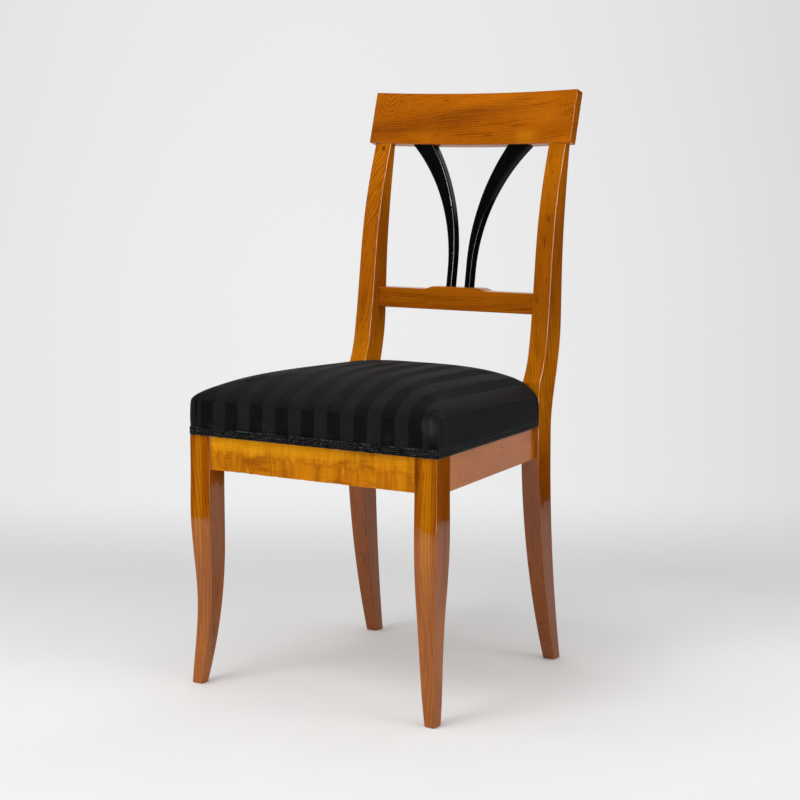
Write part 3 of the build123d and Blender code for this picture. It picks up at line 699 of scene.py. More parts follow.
def jute(name, light, dark, pitch, herringbone):
    """Jute cloth from its own flat coordinates: a herringbone web, or plain open hessian."""
    s = Shader(name)
    cloth = s.node("UVMap", uv_map="Cloth").outputs[0]
    run = s.node("SeparateXYZ", {0: cloth})
    if herringbone:
        row = s.math("PINGPONG", run.outputs[0], pitch * 4)
        diagonal = s.math("ADD", run.outputs[1], row)
        twill = s.math("PINGPONG", diagonal, pitch)
        threads = s.between(s.math("DIVIDE", twill, pitch), 0.15, 0.85)
    else:
        over = s.math("PINGPONG", run.outputs[0], pitch / 2)
        under = s.math("PINGPONG", run.outputs[1], pitch / 2)
        threads = s.between(s.math("DIVIDE", s.math("MAXIMUM", over, under), pitch / 2), 0.1, 0.9)
    slubs = s.noise(s.stretched(cloth, (1500, 120, 1)), 1.0, 3.0)
    share = s.math("MULTIPLY", threads, s.between(slubs, 0.25, 0.75, 0.55, 1.0))
    colour = s.mix(share, dark, light)
    stain = s.noise(s.stretched(cloth, (14, 9, 1)), 1.0, 3.0)
    colour = s.mix(s.between(stain, 0.5, 0.75, 0.0, 0.35), colour, tuple(c * 0.6 for c in dark))
    height = s.math("ADD", threads, s.math("MULTIPLY", slubs, 0.5))
    return s.finish(colour, 0.92, s.bump(height, 0.0006, 0.8), Sheen_Weight=0.2, Sheen_Roughness=0.6)


def curled_hair():
    """Curled horsehair stuffing."""
    s = Shader("curled_hair")
    place = s.node("TexCoord").outputs["Object"]
    hair = s.noise(place, 420, 4, 0.7, 2.5)
    clump = s.noise(place, 40, 3)
    colour = s.mix(s.between(hair, 0.35, 0.68), (0.02, 0.014, 0.010), (0.16, 0.115, 0.075))
    colour = s.mix(s.between(clump, 0.45, 0.7, 0.0, 0.5), colour, (0.06, 0.045, 0.032))
    return s.finish(colour, 0.85, s.bump(hair, 0.0015, 0.9), Sheen_Weight=0.3)


# Wooden pieces


def upright_bar(name, node, heights, radius, material, foot=0.0):
    """A post or leg whose level sections are rectangles, smoothed from its CAD node."""
    spans = cut_spans(*node_arrays(node), UP, heights)
    rings = []
    for height, (low, high) in zip(heights, spans):
        inset = 0.0
        if foot and height < foot:
            inset = foot - math.sqrt(max(foot**2 - (foot - height) ** 2, 0))
        outline = soft_rectangle(low[0] + inset, high[0] - inset, low[1] + inset, high[1] - inset, radius)
        rings.append([(x, y, height) for x, y in outline])
    return rings


def leg_heights(low, high, steps, foot):
    """Cut heights up a leg, closer together round the eased foot."""
    eased = [low + foot * share for share in (0.08, 0.3, 0.6, 1.0)]
    return np.array([*eased, *np.linspace(low + foot * 1.8, high, steps)])


def front_arris(node):
    """The height over the seat at which a post's front face turns back."""
    heights = np.linspace(0.42, 0.48, 121)
    front = cut_spans(*node_arrays(node), UP, heights)[:, 0, 1]
    return heights[1:-1][np.argmax(np.diff(front, 2))]


def wooden_bar(name, rings, material, nodes):
    """One finished wooden bar from its rings."""
    vertices, faces = loft(rings)
    piece = new_object(name, vertices, faces, material)
    face_outwards(piece)
    piece.data.shade_smooth()
    piece.data.set_sharp_from_angle(angle=math.radians(50))
    keep_flats(piece)
    return finish(piece, "cherry", *nodes)


class CHAIR_OT_front_legs(Operator):
    """Front legs, rounded along their edges"""

    bl_idname = "chair.front_legs"
    bl_label = "Front legs"

    def execute(self, context):
        rounding = context.scene.chair_wood.rounding
        plan = SeatPlan(context.scene.chair_seat.crown)
        for side, seed, tone in (("left", 3.1, 1.0), ("right", 5.7, 0.97)):
            node = "front_leg_" + side
            low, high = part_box(node)
            heights = leg_heights(low.z, high.z - 0.0005, 60, 0.0016)
            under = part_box("gimp_front_and_sides")[0].z
            heights = np.sort(np.append(heights[np.abs(heights - under) > 0.001], (under - 0.0002, under + 0.0004)))
            wood = polished_cherry("cherry_front_leg_" + side, UP, seed, tone=tone * 0.93, curl=0.05, streak=0.35, extra=leg_band)
            rings = upright_bar(node, node, heights, rounding * 0.45, wood, foot=0.0016)
            rings = [plan.trimmed(ring) if ring[0][2] > under else ring for ring in rings]
            wooden_bar("leg_front_" + side, rings, wood, [node])
        return {"FINISHED"}


class CHAIR_OT_rear_posts(Operator):
    """Rear posts, each a leg and stile in one length"""

    bl_idname = "chair.rear_posts"
    bl_label = "Rear posts"

    def execute(self, context):
        rounding = context.scene.chair_wood.rounding
        crest_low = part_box("crest_rail")[0].z
        for side, seed, tone in (("left", 8.3, 1.04), ("right", 11.9, 0.90)):
            node = "rear_post_" + side
            low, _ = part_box(node)
            head = crest_low + 0.0028
            heights = leg_heights(low.z, head, 110, 0.0016)
            arris = front_arris(node)
            heights = heights[np.abs(heights - arris) > 0.0015]
            heights = np.sort(np.append(heights, (arris - 0.0007, arris + 0.0007)))
            extra = left_post if side == "left" else right_post
            wood = polished_cherry("cherry_rear_post_" + side, UP, seed, tilt=0.05, tone=tone, streak=0.3, extra=extra)
            rings = upright_bar(node, node, heights, rounding, wood, foot=0.0016)
            last, before = np.array(rings[-1]), np.array(rings[-2])
            rise = (last - before) / (last[0][2] - before[0][2])
            rings.append([tuple(point) for point in last + rise * 0.006])
            wooden_bar("post_rear_" + side, rings, wood, [node])
        return {"FINISHED"}


def leaning_axes(up):
    """The axes of a leaning board: back through it, and up along it."""
    up = np.array([0, up[1], up[2]]) / np.hypot(up[1], up[2])
    return np.array([0, up[2], -up[1]]), up


class CHAIR_OT_crest_rail(Operator):
    """Crest rail, bowed and raked"""

    bl_idname = "chair.crest_rail"
    bl_label = "Crest rail"

    def execute(self, context):
        radius = context.scene.chair_wood.rounding
        places, triangles = node_arrays("crest_rail")
        back, up = leaning_axes(broad_normal("crest_rail", (0, 0, 1)))
        board = np.column_stack([places[:, 0], places @ back, places @ up])
        end = board[:, 0].max()
        cuts = inside_span(-end + radius, end - radius, 61)
        spans = cut_spans(board, triangles, 0, cuts)
        fit = np.polyfit(cuts, spans[:, 0, 1], 4), np.polyfit(cuts, spans[:, 1, 1], 4)
        low, high = np.median(spans[:, 0, 2]), np.median(spans[:, 1, 2])
        stations = [(x, 0.0) for x in cuts]
        turns = [(step + 1) / 4 * math.pi / 2 for step in range(4)]
        for angle in turns:
            reach, inset = end - radius + radius * math.sin(angle), radius * (1 - math.cos(angle))
            stations.insert(0, (-reach, inset))
            stations.append((reach, inset))
        rings = []
        for x, inset in stations:
            front, rear = np.polyval(fit[0], x) + inset, np.polyval(fit[1], x) - inset
            size = max(radius - inset, 0.0003)
            outline = soft_rectangle(front, rear, low + inset, high - inset, size)
            rings.append([tuple(np.array([x, 0, 0]) + back * a + up * b) for a, b in outline])
        wood = polished_cherry("cherry_crest", ACROSS, 14.3, 0.09, 1.2, curl=0.05, heart=0.03, extra=crest_figure)
        wooden_bar("rail_crest", rings, wood, ["crest_rail"])
        return {"FINISHED"}


class CHAIR_OT_middle_rail(Operator):
    """Middle rail with its raised platform"""

    bl_idname = "chair.middle_rail"
    bl_label = "Middle rail"

    def execute(self, context):
        radius = context.scene.chair_wood.rounding
        places, triangles = node_arrays("mid_rail")
        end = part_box("rear_post_right")[0].x + 0.0012
        stations = np.concatenate([np.linspace(-end, -0.07, 12), np.linspace(-0.066, 0.066, 67), np.linspace(0.07, end, 12)])
        spans = cut_spans(places, triangles, ACROSS, np.clip(stations, -0.1475, 0.1475))
        rings = []
        for x, (low, high) in zip(stations, spans):
            outline = soft_rectangle(low[1], high[1], low[2], high[2], radius)
            rings.append([(x, a, b) for a, b in outline])
        wood = polished_cherry("cherry_middle", ACROSS, 17.9, tone=1.08, curl=0.04)
        wooden_bar("rail_middle", rings, wood, ["mid_rail"])
        return {"FINISHED"}


class CHAIR_OT_splats(Operator):
    """Ebonised splats, round along their front edges"""

    bl_idname = "chair.splats"
    bl_label = "Splats"

    def execute(self, context):
        for side, gloss in (("left", 0.6), ("right", 0.22)):
            black = ebonised("ebonised_" + side, gloss)
            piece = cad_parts["splat_" + side]
            piece.data.materials.clear()
            piece.data.materials.append(black)
        return {"FINISHED"}


def eased_node(name, material, width):
    """Keeps a CAD node of flat faces, with a new finish and its edges eased."""
    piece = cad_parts[name]
    piece.data.materials.clear()
    piece.data.materials.append(material)
    weld = piece.modifiers.new("Weld", "WELD")
    weld.merge_threshold = 0.00002
    flats = piece.modifiers.new("Flats", "DECIMATE")
    flats.decimate_type = "DISSOLVE"
    flats.angle_limit = math.radians(1)
    bevel = piece.modifiers.new("Eased edges", "BEVEL")
    bevel.width = width
    bevel.segments = 3
    bevel.limit_method = "ANGLE"
    bevel.angle_limit = math.radians(40)
    keep_flats(piece)
    return piece


class CHAIR_OT_seat_frame(Operator):
    """Seat rails and corner blocks"""

    bl_idname = "chair.seat_frame"
    bl_label = "Seat frame"

    def execute(self, context):
        rounding = context.scene.chair_wood.rounding
        for side, seed in (("left", 21.0), ("right", 23.0)):
            wood = polished_cherry("cherry_side_rail_" + side, ALONG, seed, tone=1.2, curl=0.03, streak=0.15)
            wood.node_tree.nodes["Principled BSDF"].inputs["Coat Roughness"].default_value = 0.26
            wood.node_tree.nodes["Principled BSDF"].inputs["Coat Weight"].default_value = 0.85
            eased_node("side_rail_" + side, wood, rounding * 0.6)
        eased_node("rear_rail", polished_cherry("cherry_rear_rail", ACROSS, 25.0, tone=0.9), rounding * 0.6)
        beech = plain_wood("beech", (0.46, 0.27, 0.14), (0.32, 0.17, 0.08), ACROSS, 1.0)
        eased_node("front_rail", beech, rounding * 0.4)
        for place, seed in (("front_left", 2.0), ("front_right", 3.0), ("rear_left", 4.0), ("rear_right", 5.0)):
            pine = plain_wood("pine_" + place, (0.55, 0.36, 0.17), (0.36, 0.19, 0.07), ACROSS, seed)
            eased_node("corner_block_" + place, pine, rounding * 0.5)
        return {"FINISHED"}


class CHAIR_OT_veneer(Operator):
    """Figured veneer of the front rail, with small chips along its lower edge"""

    bl_idname = "chair.veneer"
    bl_label = "Front veneer"

    def execute(self, context):
        low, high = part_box("front_rail_veneer")
        wood = polished_cherry(
            "cherry_veneer", ACROSS, 27.0, tilt=0.05, tone=1.12, curl=0.10, streak=0.15, extra=veneer_figure
        )
        rng = np.random.default_rng(7)
        xs = np.linspace(low.x, high.x, 241)
        edge = np.full(len(xs), low.z)
        for centre, width, depth in CHIPS:
            edge += depth * np.clip(1 - np.abs(xs - centre) / width, 0, 1) ** 0.6 * (1 + 0.25 * rng.standard_normal(len(xs)))
        edge = np.clip(edge, low.z, low.z + 0.004)
        rows = 7
        vertices, faces = [], []
        for y in (low.y, high.y):
            for row in range(rows):
                share = row / (rows - 1)
                vertices += [(x, y, z + (high.z - z) * share) for x, z in zip(xs, edge)]
        count, layer = len(xs), len(xs) * rows
        for side in range(2):
            for row in range(rows - 1):
                for step in range(count - 1):
                    a = side * layer + row * count + step
                    quad = (a, a + 1, a + count + 1, a + count)
                    faces.append(quad if side == 0 else quad[::-1])
        rim = [*range(count), *[row * count + count - 1 for row in range(1, rows)]]
        rim += [*range((rows - 1) * count + count - 2, (rows - 1) * count - 1, -1)]
        rim += [row * count for row in range(rows - 2, 0, -1)]
        for a, b in zip(rim, rim[1:] + rim[:1]):
            faces.append((b, a, a + layer, b + layer))
        piece = new_object("veneer_front", vertices, faces, wood, sharp=35)
        face_outwards(piece)
        finish(piece, "cherry_veneer", "front_rail_veneer")
        return {"FINISHED"}


# Chips in the veneer's lower edge: place across the chair, half width and depth
CHIPS = [
    (-0.139, 0.007, 0.0012),
    (-0.118, 0.010, 0.0020),
    (-0.097, 0.006, 0.0014),
    (-0.060, 0.004, 0.0008),
    (-0.012, 0.005, 0.0010),
    (0.047, 0.012, 0.0012),
    (0.109, 0.006, 0.0009),
]


# Seat


def column_shares(number, count, length):
    """Shares along one side of the seat's outline: even, and closer together where the cloth folds at the front."""
    near = [reach / length for reach in FOLD_COLUMNS]
    first = near if number in (0, 1) else []
    last = [1 - share for share in reversed(near)] if number in (0, 3) else []
    low, high = (first or [0])[-1], (last or [1])[0]
    return [*first, *[low + (high - low) * step / count for step in range(1, count)], *last]


# Distances from the end of a corner's curve at which the seat's skin has points for its folds
FOLD_COLUMNS = (0.0022, 0.0036, 0.0046, 0.0054, 0.0062, 0.0074, 0.0098)


class SeatPlan:
    """The seat's outline and crown, measured from the CAD cover and posts."""

    def __init__(self, crown_reach):
        low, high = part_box("seat_cover")
        post_low, post_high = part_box("rear_post_right")
        self.front, self.rear, self.half = low.y, high.y, high.x
        self.bottom, self.top = low.z, high.z
        self.post_front = cut_spans(*node_arrays("rear_post_right"), UP, [0.39])[0][0][1]
        self.post_inner = cut_spans(*node_arrays("rear_post_right"), UP, [0.39])[0][0][0]
        self.post_outer = post_high.x
        self.taper = (self.half - self.post_outer) / (self.post_front - self.front)
        self.edge, self.fall, self.reach = 0.4330, 0.010, crown_reach

    def ring(self, inset, radius, steps=6, along=24, across=30):
        """Points round the outline drawn in by an inset, with the same number of points for every inset."""
        drawn_in = inset * math.hypot(1, self.taper)
        low, high = self.front + inset, self.rear - inset
        low_half = self.half - (low - self.front) * self.taper - drawn_in
        high_half = self.half - (high - self.front) * self.taper - drawn_in
        corners = [Vector((-low_half, low)), Vector((low_half, low)), Vector((high_half, high)), Vector((-high_half, high))]
        arcs = []
        for number, corner in enumerate(corners):
            back = (corners[number - 1] - corner).normalized()
            ahead = (corners[(number + 1) % 4] - corner).normalized()
            half_angle = back.angle(ahead) / 2
            centre = corner + (back + ahead).normalized() * (radius / math.sin(half_angle))
            reach = radius / math.tan(half_angle)
            start, end = corner + back * reach - centre, corner + ahead * reach - centre
            turn = start.angle(end)
            for step in range(steps + 1):
                angle = turn * step / steps
                cos, sin = math.cos(angle), math.sin(angle)
                arcs.append((centre.x + start.x * cos - start.y * sin, centre.y + start.x * sin + start.y * cos))
        points = []
        for number in range(4):
            arc = arcs[number * (steps + 1) : (number + 1) * (steps + 1)]
            following = arcs[(number + 1) * (steps + 1) % len(arcs)]
            points += arc
            for share in column_shares(number, across if number % 2 == 0 else along, 2 * self.half):
                points.append(tuple(a + (b - a) * share for a, b in zip(arc[-1], following)))
        return points

    def trimmed(self, ring, skin=0.0016, corner=0.007):
        """A ring of a leg drawn in under the cover, round its outer corner and along its side."""
        drawn = []
        for x, y, z in ring:
            side, half = math.copysign(1, x), self.half - skin - (y - self.front) * self.taper
            x, y = min(abs(x), half), max(y, self.front + skin)
            middle = (self.half - skin - corner - corner * self.taper, self.front + skin + corner)
            away = Vector((x - middle[0], y - middle[1]))
            if away.x > 0 and away.y < 0 and away.length > corner:
                away *= corner / away.length
                x, y = middle[0] + away.x, middle[1] + away.y
            drawn.append((side * x, y, z))
        return drawn

    def rise(self, share):
        """How high the crown stands, as a share, at a share of its reach in from the edge."""
        return (1 - (1 - min(share, 1)) ** 1.6) ** 0.55

    def skin(self, depth=0.0, bottom=None, walls=8, steps=16, inner=5):
        """Rings of the seat's skin at a depth below the cover's outside, from the bottom up to the crown."""
        bottom = self.bottom if bottom is None else bottom
        corner = 0.0085
        rings = []
        for step in range(walls):
            share = step / walls
            outline = self.ring(depth, corner - depth * 0.5)
            belly = 0.0016 * math.sin(math.pi * share) if depth == 0 else 0
            rings.append([(x * (1 + belly / self.half), y, self.level(bottom, share, y)) for x, y in outline])
        for step in range(steps):
            share = (step / (steps - 1)) ** 2.1
            up = self.rise(share)
            radius = corner + 0.45 * self.reach * share - depth * 0.5
            outline = self.ring(self.reach * share + depth, radius)
            height = (self.top - self.edge - depth) * up
            rings.append([(x, y, self.edge + height - self.drop(y) * (1 - up)) for x, y in outline])
        far = (self.rear - self.front) / 2 - 0.012
        for step in range(1, inner + 1):
            share = step / inner
            inset = self.reach + (far - self.reach) * share
            radius = (corner + 0.45 * self.reach) * (1 - share) + 0.006 * share
            outline = self.ring(inset, radius)
            height = self.top - depth + 0.0016 * math.sin(share * math.pi / 2)
            rings.append([(x, y, height) for x, y in outline])
        return rings

    def drop(self, y):
        """How far the seat's edge falls towards the back."""
        return self.fall * (y - self.front) / (self.rear - self.front)

    def level(self, bottom, share, y):
        top = self.edge - self.drop(y)
        return bottom + (top - bottom) * share


def smooth_step(value, low, high):
    """From nothing at the low end to one at the high end, smoothly."""
    share = np.clip((value - low) / (high - low), 0, 1)
    return share * share * (3 - 2 * share)


def mesh_places(mesh):
    places = np.empty(len(mesh.vertices) * 3)
    mesh.vertices.foreach_get("co", places)
    return places.reshape(-1, 3)


def from_corner(plan, places):
    """How far points lie along the seat's front from its nearer corner, and along its side."""
    ahead = plan.half - np.abs(places[:, 0]) - (places[:, 1] - plan.front) * plan.taper
    return plan.half - np.abs(places[:, 0]), places[:, 1] - plan.front, ahead


def unfolded(plan, places):
    """The cloth's own coordinates at points: across the stripes, which follow the seat's taper, and along them."""
    x, y, z = places.T
    sides = np.sign(x)
    half = plan.half - (y - plan.front) * plan.taper
    spread = np.abs(x) * plan.half / half
    fallen = np.maximum(plan.edge - plan.drop(y) + 0.004 - z, 0)
    in_front, along_side, in_side = from_corner(plan, places)
    side = smooth_step(along_side - in_side * 1.4, 0.004, 0.010)
    folded = smooth_step(-in_front, -PLEAT_REACH - 0.0003, -PLEAT_REACH + 0.0003) * (1 - side)
    across = spread + side * fallen * 0.52
    across = across * (1 - folded) + folded * (PLEAT_CLOTH + along_side * 0.6 - in_front * 0.6)
    along = y - np.maximum(plan.edge + 0.004 - z, 0) * (1 - side)
    return np.column_stack([sides * across, along])


# Pleat at each front corner: its distance from the corner, and the place on the cloth that it brings up
PLEAT_REACH = 0.0145
PLEAT_CLOTH = 0.252


class CHAIR_OT_seat_cover(Operator):
    """Stuffed seat in its striped cover"""

    bl_idname = "chair.seat_cover"
    bl_label = "Seat cover"

    def execute(self, context):
        seat = context.scene.chair_seat
        plan = SeatPlan(seat.crown)
        rings = plan.skin()
        vertices, faces = loft(rings, capped=False)
        count = len(rings[0])
        faces.append(tuple(range(len(vertices) - count, len(vertices))))
        satin = striped_satin(plan)
        piece = new_object("cushion_seat", vertices, faces, satin, sharp=180)
        shape_seat(piece, plan)
        cut_at_posts(piece, plan)
        set_cloth_map(piece, plan)
        settle(piece, held_border(piece, plan), SEAT_PRESSURE, SEAT_GIVE)
        fine = piece.modifiers.new("Fine", "SUBSURF")
        fine.levels = fine.render_levels = 1
        fine.boundary_smooth = "PRESERVE_CORNERS"
        thick = piece.modifiers.new("Cloth", "SOLIDIFY")
        thick.thickness = seat.cloth
        thick.offset = -1
        finish(piece, "striped_satin", "seat_cover")
        return {"FINISHED"}


def shape_seat(piece, plan):
    """Draws the skin in along the posts, pulls it over the edges and folds it at the front corners."""
    mesh = piece.data
    places = mesh_places(mesh)
    for side in (-1, 1):
        gap_x = np.maximum(plan.post_inner - side * places[:, 0], 0)
        gap_y = np.maximum(plan.post_front - places[:, 1], 0)
        away = np.hypot(gap_x, gap_y)
        tuck = np.exp(-((away / 0.012) ** 2)) * (places[:, 2] > plan.edge - plan.fall - 0.004)
        places[:, 2] -= 0.0035 * tuck
    in_front, along_side, in_side = from_corner(plan, places)
    top = smooth_step(places[:, 2], plan.edge + 0.016, plan.edge - 0.002)
    low = smooth_step(places[:, 2], plan.bottom + 0.010, plan.bottom + 0.020)
    on_front = smooth_step(along_side, 0.006, 0.003) * top
    layer = smooth_step(-in_front, -PLEAT_REACH - 0.0002, -PLEAT_REACH + 0.0009) * smooth_step(in_front, 0.002, 0.010)
    groove = np.exp(-(((in_front - PLEAT_REACH - 0.0012) / 0.0011) ** 2))
    places[:, 1] -= on_front * low * (0.0016 * layer - 0.0016 * groove)
    on_side = smooth_step(in_side, 0.008, 0.003) * top * low
    crease = np.exp(-(((along_side - 0.0125) / 0.0012) ** 2))
    puff = smooth_step(along_side, 0.012, 0.009) * smooth_step(in_front, 0.011, 0.004)
    places[:, 0] -= np.sign(places[:, 0]) * on_side * (0.0009 * crease - 0.0006 * puff)
    mesh.vertices.foreach_set("co", places.ravel())
    mesh.update()


# The cover's pull over its padding: air pressure of the simulation, and the most it may move the cloth
SEAT_PRESSURE = 4.0
SEAT_GIVE = 0.0022


def held_border(piece, plan):
    """The vertices that tacks, gimp and posts hold: the lower border and the cuts."""
    places = mesh_places(piece.data)
    low = places[:, 2] < plan.bottom + 0.013
    inner, front = plan.post_inner - 0.0003, plan.post_front - 0.0003
    beside = (np.abs(np.abs(places[:, 0]) - inner) < 0.0002) & (places[:, 1] > front - 0.0002)
    before = (np.abs(places[:, 1] - front) < 0.0002) & (np.abs(places[:, 0]) > inner - 0.0002)
    return np.flatnonzero(low | beside | before).tolist()


def settle(piece, held, pressure, most):
    """Lets a cover find its own tension in a short cloth simulation, and keeps the result in its mesh."""
    mesh = piece.data
    before = mesh_places(mesh)
    group = piece.vertex_groups.new(name="Held")
    group.add(held, 1.0, "REPLACE")
    cloth = piece.modifiers.new("Settling", "CLOTH")
    cloth.settings.quality = 6
    cloth.settings.mass = 0.002
    cloth.settings.tension_stiffness = 150
    cloth.settings.compression_stiffness = 100
    cloth.settings.shear_stiffness = 30
    cloth.settings.bending_stiffness = 0.5
    cloth.settings.use_pressure = True
    cloth.settings.uniform_pressure_force = pressure
    cloth.settings.vertex_group_mass = group.name
    cloth.settings.effector_weights.gravity = 0
    cloth.collision_settings.use_collision = False
    cloth.point_cache.frame_start, cloth.point_cache.frame_end = 1, 20
    scene = bpy.context.scene
    for number in range(1, 21):
        scene.frame_set(number)
    result = piece.evaluated_get(bpy.context.evaluated_depsgraph_get()).to_mesh()
    after = mesh_places(result)
    piece.evaluated_get(bpy.context.evaluated_depsgraph_get()).to_mesh_clear()
    piece.modifiers.remove(cloth)
    piece.vertex_groups.remove(group)
    scene.frame_set(1)
    normals = np.empty(len(mesh.vertices) * 3)
    mesh.vertices.foreach_get("normal", normals)
    normals = normals.reshape(-1, 3)
    move = after - before
    move -= np.minimum((move * normals).sum(axis=1), 0)[:, None] * normals
    length = np.linalg.norm(move, axis=1)
    move *= (most * np.tanh(length / most) / np.maximum(length, 1e-9))[:, None]
    mesh.vertices.foreach_set("co", (before + move).ravel())
    mesh.update()


def cut_at_posts(piece, plan):
    """Cuts the skin away where the rear posts stand."""
    cutters = []
    for side in (-1, 1):
        low = Vector((side * (plan.post_inner - 0.0003), plan.post_front - 0.0003, 0.3))
        high = Vector((side * (plan.half + 0.05), plan.rear + 0.05, 0.6))
        corners = [(x, y, z) for x in (low.x, high.x) for y in (low.y, high.y) for z in (low.z, high.z)]
        sides = [(0, 1, 3, 2), (4, 6, 7, 5), (0, 4, 5, 1), (2, 3, 7, 6), (0, 2, 6, 4), (1, 5, 7, 3)]
        cutters.append((corners, sides))
    shape = bmesh.new()
    shape.from_mesh(piece.data)
    bmesh.ops.triangulate(shape, faces=[f for f in shape.faces if len(f.verts) > 4], ngon_method="BEAUTY")
    for side in (-1, 1):
        for point, normal in (
            (Vector((side * (plan.post_inner - 0.0003), 0, 0)), Vector((side, 0, 0))),
            (Vector((0, plan.post_front - 0.0003, 0)), Vector((0, 1, 0))),
        ):
            near = [f for f in shape.faces if f.calc_center_median().x * side > 0]
            geometry = near + list({e for f in near for e in f.edges}) + list({v for f in near for v in f.verts})
            bmesh.ops.bisect_plane(shape, geom=geometry, plane_co=point, plane_no=normal)
    gone = []
    for face in shape.faces:
        centre = face.calc_center_median()
        if abs(centre.x) > plan.post_inner - 0.0003 and centre.y > plan.post_front - 0.0003:
            gone.append(face)
    bmesh.ops.delete(shape, geom=gone, context="FACES")
    bmesh.ops.dissolve_degenerate(shape, dist=0.0002, edges=shape.edges)
    shape.to_mesh(piece.data)
    shape.free()
    piece.data.shade_smooth()


def set_cloth_map(piece, plan):
    """Lays the cover's unfolded coordinates on the mesh."""
    mesh = piece.data
    layer = mesh.uv_layers.new(name="Cloth")
    spots = unfolded(plan, mesh_places(mesh))
    for loop in mesh.loops:
        layer.data[loop.index].uv = spots[loop.vertex_index]


class CHAIR_OT_stuffing(Operator):
    """First stuffing and top stuffing under the cover"""

    bl_idname = "chair.stuffing"
    bl_label = "Stuffing"

    def execute(self, context):
        seat = context.scene.chair_seat
        plan = SeatPlan(seat.crown)
        hair = curled_hair()
        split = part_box("top_stuffing")[0].z
        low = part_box("first_stuffing")[0].z
        outline = plan.ring(0.0045, 0.006, steps=4, along=8, across=8)
        rings = [[(x, y, z) for x, y in outline] for z in (low + 0.0032, low + 0.008, low + 0.013, split)]
        vertices, faces = loft(rings)
        piece = new_object("pad_first_stuffing", vertices, faces, hair)
        cut_and_close(piece, plan)
        finish(piece, "stuffing", "first_stuffing")
        rings = plan.skin(depth=0.010, bottom=split, walls=2, steps=12, inner=4)
        vertices, faces = loft(rings)
        piece = new_object("pad_top_stuffing", vertices, faces, hair)
        cut_and_close(piece, plan)
        finish(piece, "stuffing", "top_stuffing")
        return {"FINISHED"}


def cut_and_close(piece, plan):
    """Cuts a closed form away at the posts and closes the cuts."""
    cut_at_posts(piece, plan)
    shape = bmesh.new()
    shape.from_mesh(piece.data)
    bmesh.ops.holes_fill(shape, edges=[e for e in shape.edges if e.is_boundary], sides=0)
    bmesh.ops.recalc_face_normals(shape, faces=shape.faces)
    shape.to_mesh(piece.data)
    shape.free()


# Gimp


def gimp_tree(material):
    """Nodes that wind a cord in loops along a path."""
    tree = bpy.data.node_groups.new("Looped cord", "GeometryNodeTree")
    face = tree.interface
    face.new_socket("Geometry", in_out="INPUT", socket_type="NodeSocketGeometry")
    for name, default in (("Pitch", 0.0026), ("Height", 0.0022), ("Depth", 0.0007), ("Cord", 0.0006), ("Phase", 0.0)):
        socket = face.new_socket(name, in_out="INPUT", socket_type="NodeSocketFloat")
        socket.default_value = default
    face.new_socket("Geometry", in_out="OUTPUT", socket_type="NodeSocketGeometry")

    def node(kind, **inputs):
        made = tree.nodes.new(kind)
        for name, value in inputs.items():
            socket = made.inputs[int(name[1:])] if name[0] == "i" and name[1:].isdigit() else made.inputs[name.replace("_", " ")]
            if isinstance(value, bpy.types.NodeSocket):
                tree.links.new(value, socket)
            else:
                socket.default_value = value
        return made

    def calc(operation, first, second=0.0):
        made = node("ShaderNodeMath", i0=first, i1=second)
        made.operation = operation
        return made.outputs[0]

    given = tree.nodes.new("NodeGroupInput")
    result = tree.nodes.new("NodeGroupOutput")
    step = calc("DIVIDE", given.outputs["Pitch"], 8.0)
    fine = node("GeometryNodeResampleCurve", Curve=given.outputs["Geometry"])
    fine.mode = "LENGTH"
    tree.links.new(step, fine.inputs["Length"])
    along = node("GeometryNodeSplineParameter").outputs["Length"]
    angle = calc("MULTIPLY", calc("DIVIDE", along, given.outputs["Pitch"]), 2 * math.pi)
    angle = calc("ADD", angle, given.outputs["Phase"])
    up = calc("MULTIPLY", calc("SINE", angle), given.outputs["Height"])
    out = calc("MULTIPLY", calc("COSINE", angle), given.outputs["Depth"])
    tangent = node("GeometryNodeInputTangent").outputs[0]
    side = node("ShaderNodeVectorMath", i0=tangent, i1=(0, 0, 1))
    side.operation = "CROSS_PRODUCT"
    outward = node("ShaderNodeVectorMath", i0=side.outputs[0])
    outward.operation = "SCALE"
    tree.links.new(out, outward.inputs["Scale"])
    upward = node("ShaderNodeCombineXYZ", Z=up)
    shift = node("ShaderNodeVectorMath", i0=outward.outputs[0], i1=upward.outputs[0])
    moved = node("GeometryNodeSetPosition", Geometry=fine.outputs[0], Offset=shift.outputs[0])
    round_cord = node("GeometryNodeCurvePrimitiveCircle", Resolution=6, Radius=given.outputs["Cord"])
    tube = node("GeometryNodeCurveToMesh", Curve=moved.outputs[0], Profile_Curve=round_cord.outputs[0], Fill_Caps=True)
    smooth = node("GeometryNodeSetShadeSmooth", Geometry=tube.outputs[0])
    real = node("GeometryNodeRealizeInstances", Geometry=smooth.outputs[0])
    dressed = node("GeometryNodeSetMaterial", Geometry=real.outputs[0])
    dressed.inputs["Material"].default_value = material
    tree.links.new(dressed.outputs[0], result.inputs[0])
    return tree


def curve_object(name, points):
    """A curve through points."""
    curve = bpy.data.curves.new(name, "CURVE")
    curve.dimensions = "3D"
    line = curve.splines.new("POLY")
    line.points.add(len(points) - 1)
    for knot, point in zip(line.points, points):
        knot.co = (*point, 1)
    made = bpy.data.objects.new(name, curve)
    bpy.context.scene.collection.objects.link(made)
    return made


def wound_cord(tree, name, points, **sizes):
    """The plain mesh of one cord wound along a path."""
    path = curve_object(name, points)
    winding = path.modifiers.new("Winding", "NODES")
    winding.node_group = tree
    sockets = {item.name: item.identifier for item in tree.interface.items_tree if item.in_out == "INPUT"}
    for label, value in sizes.items():
        winding[sockets[label]] = value
    graph = bpy.context.evaluated_depsgraph_get()
    mesh = bpy.data.meshes.new_from_object(path.evaluated_get(graph))
    bpy.data.objects.remove(path)
    return mesh


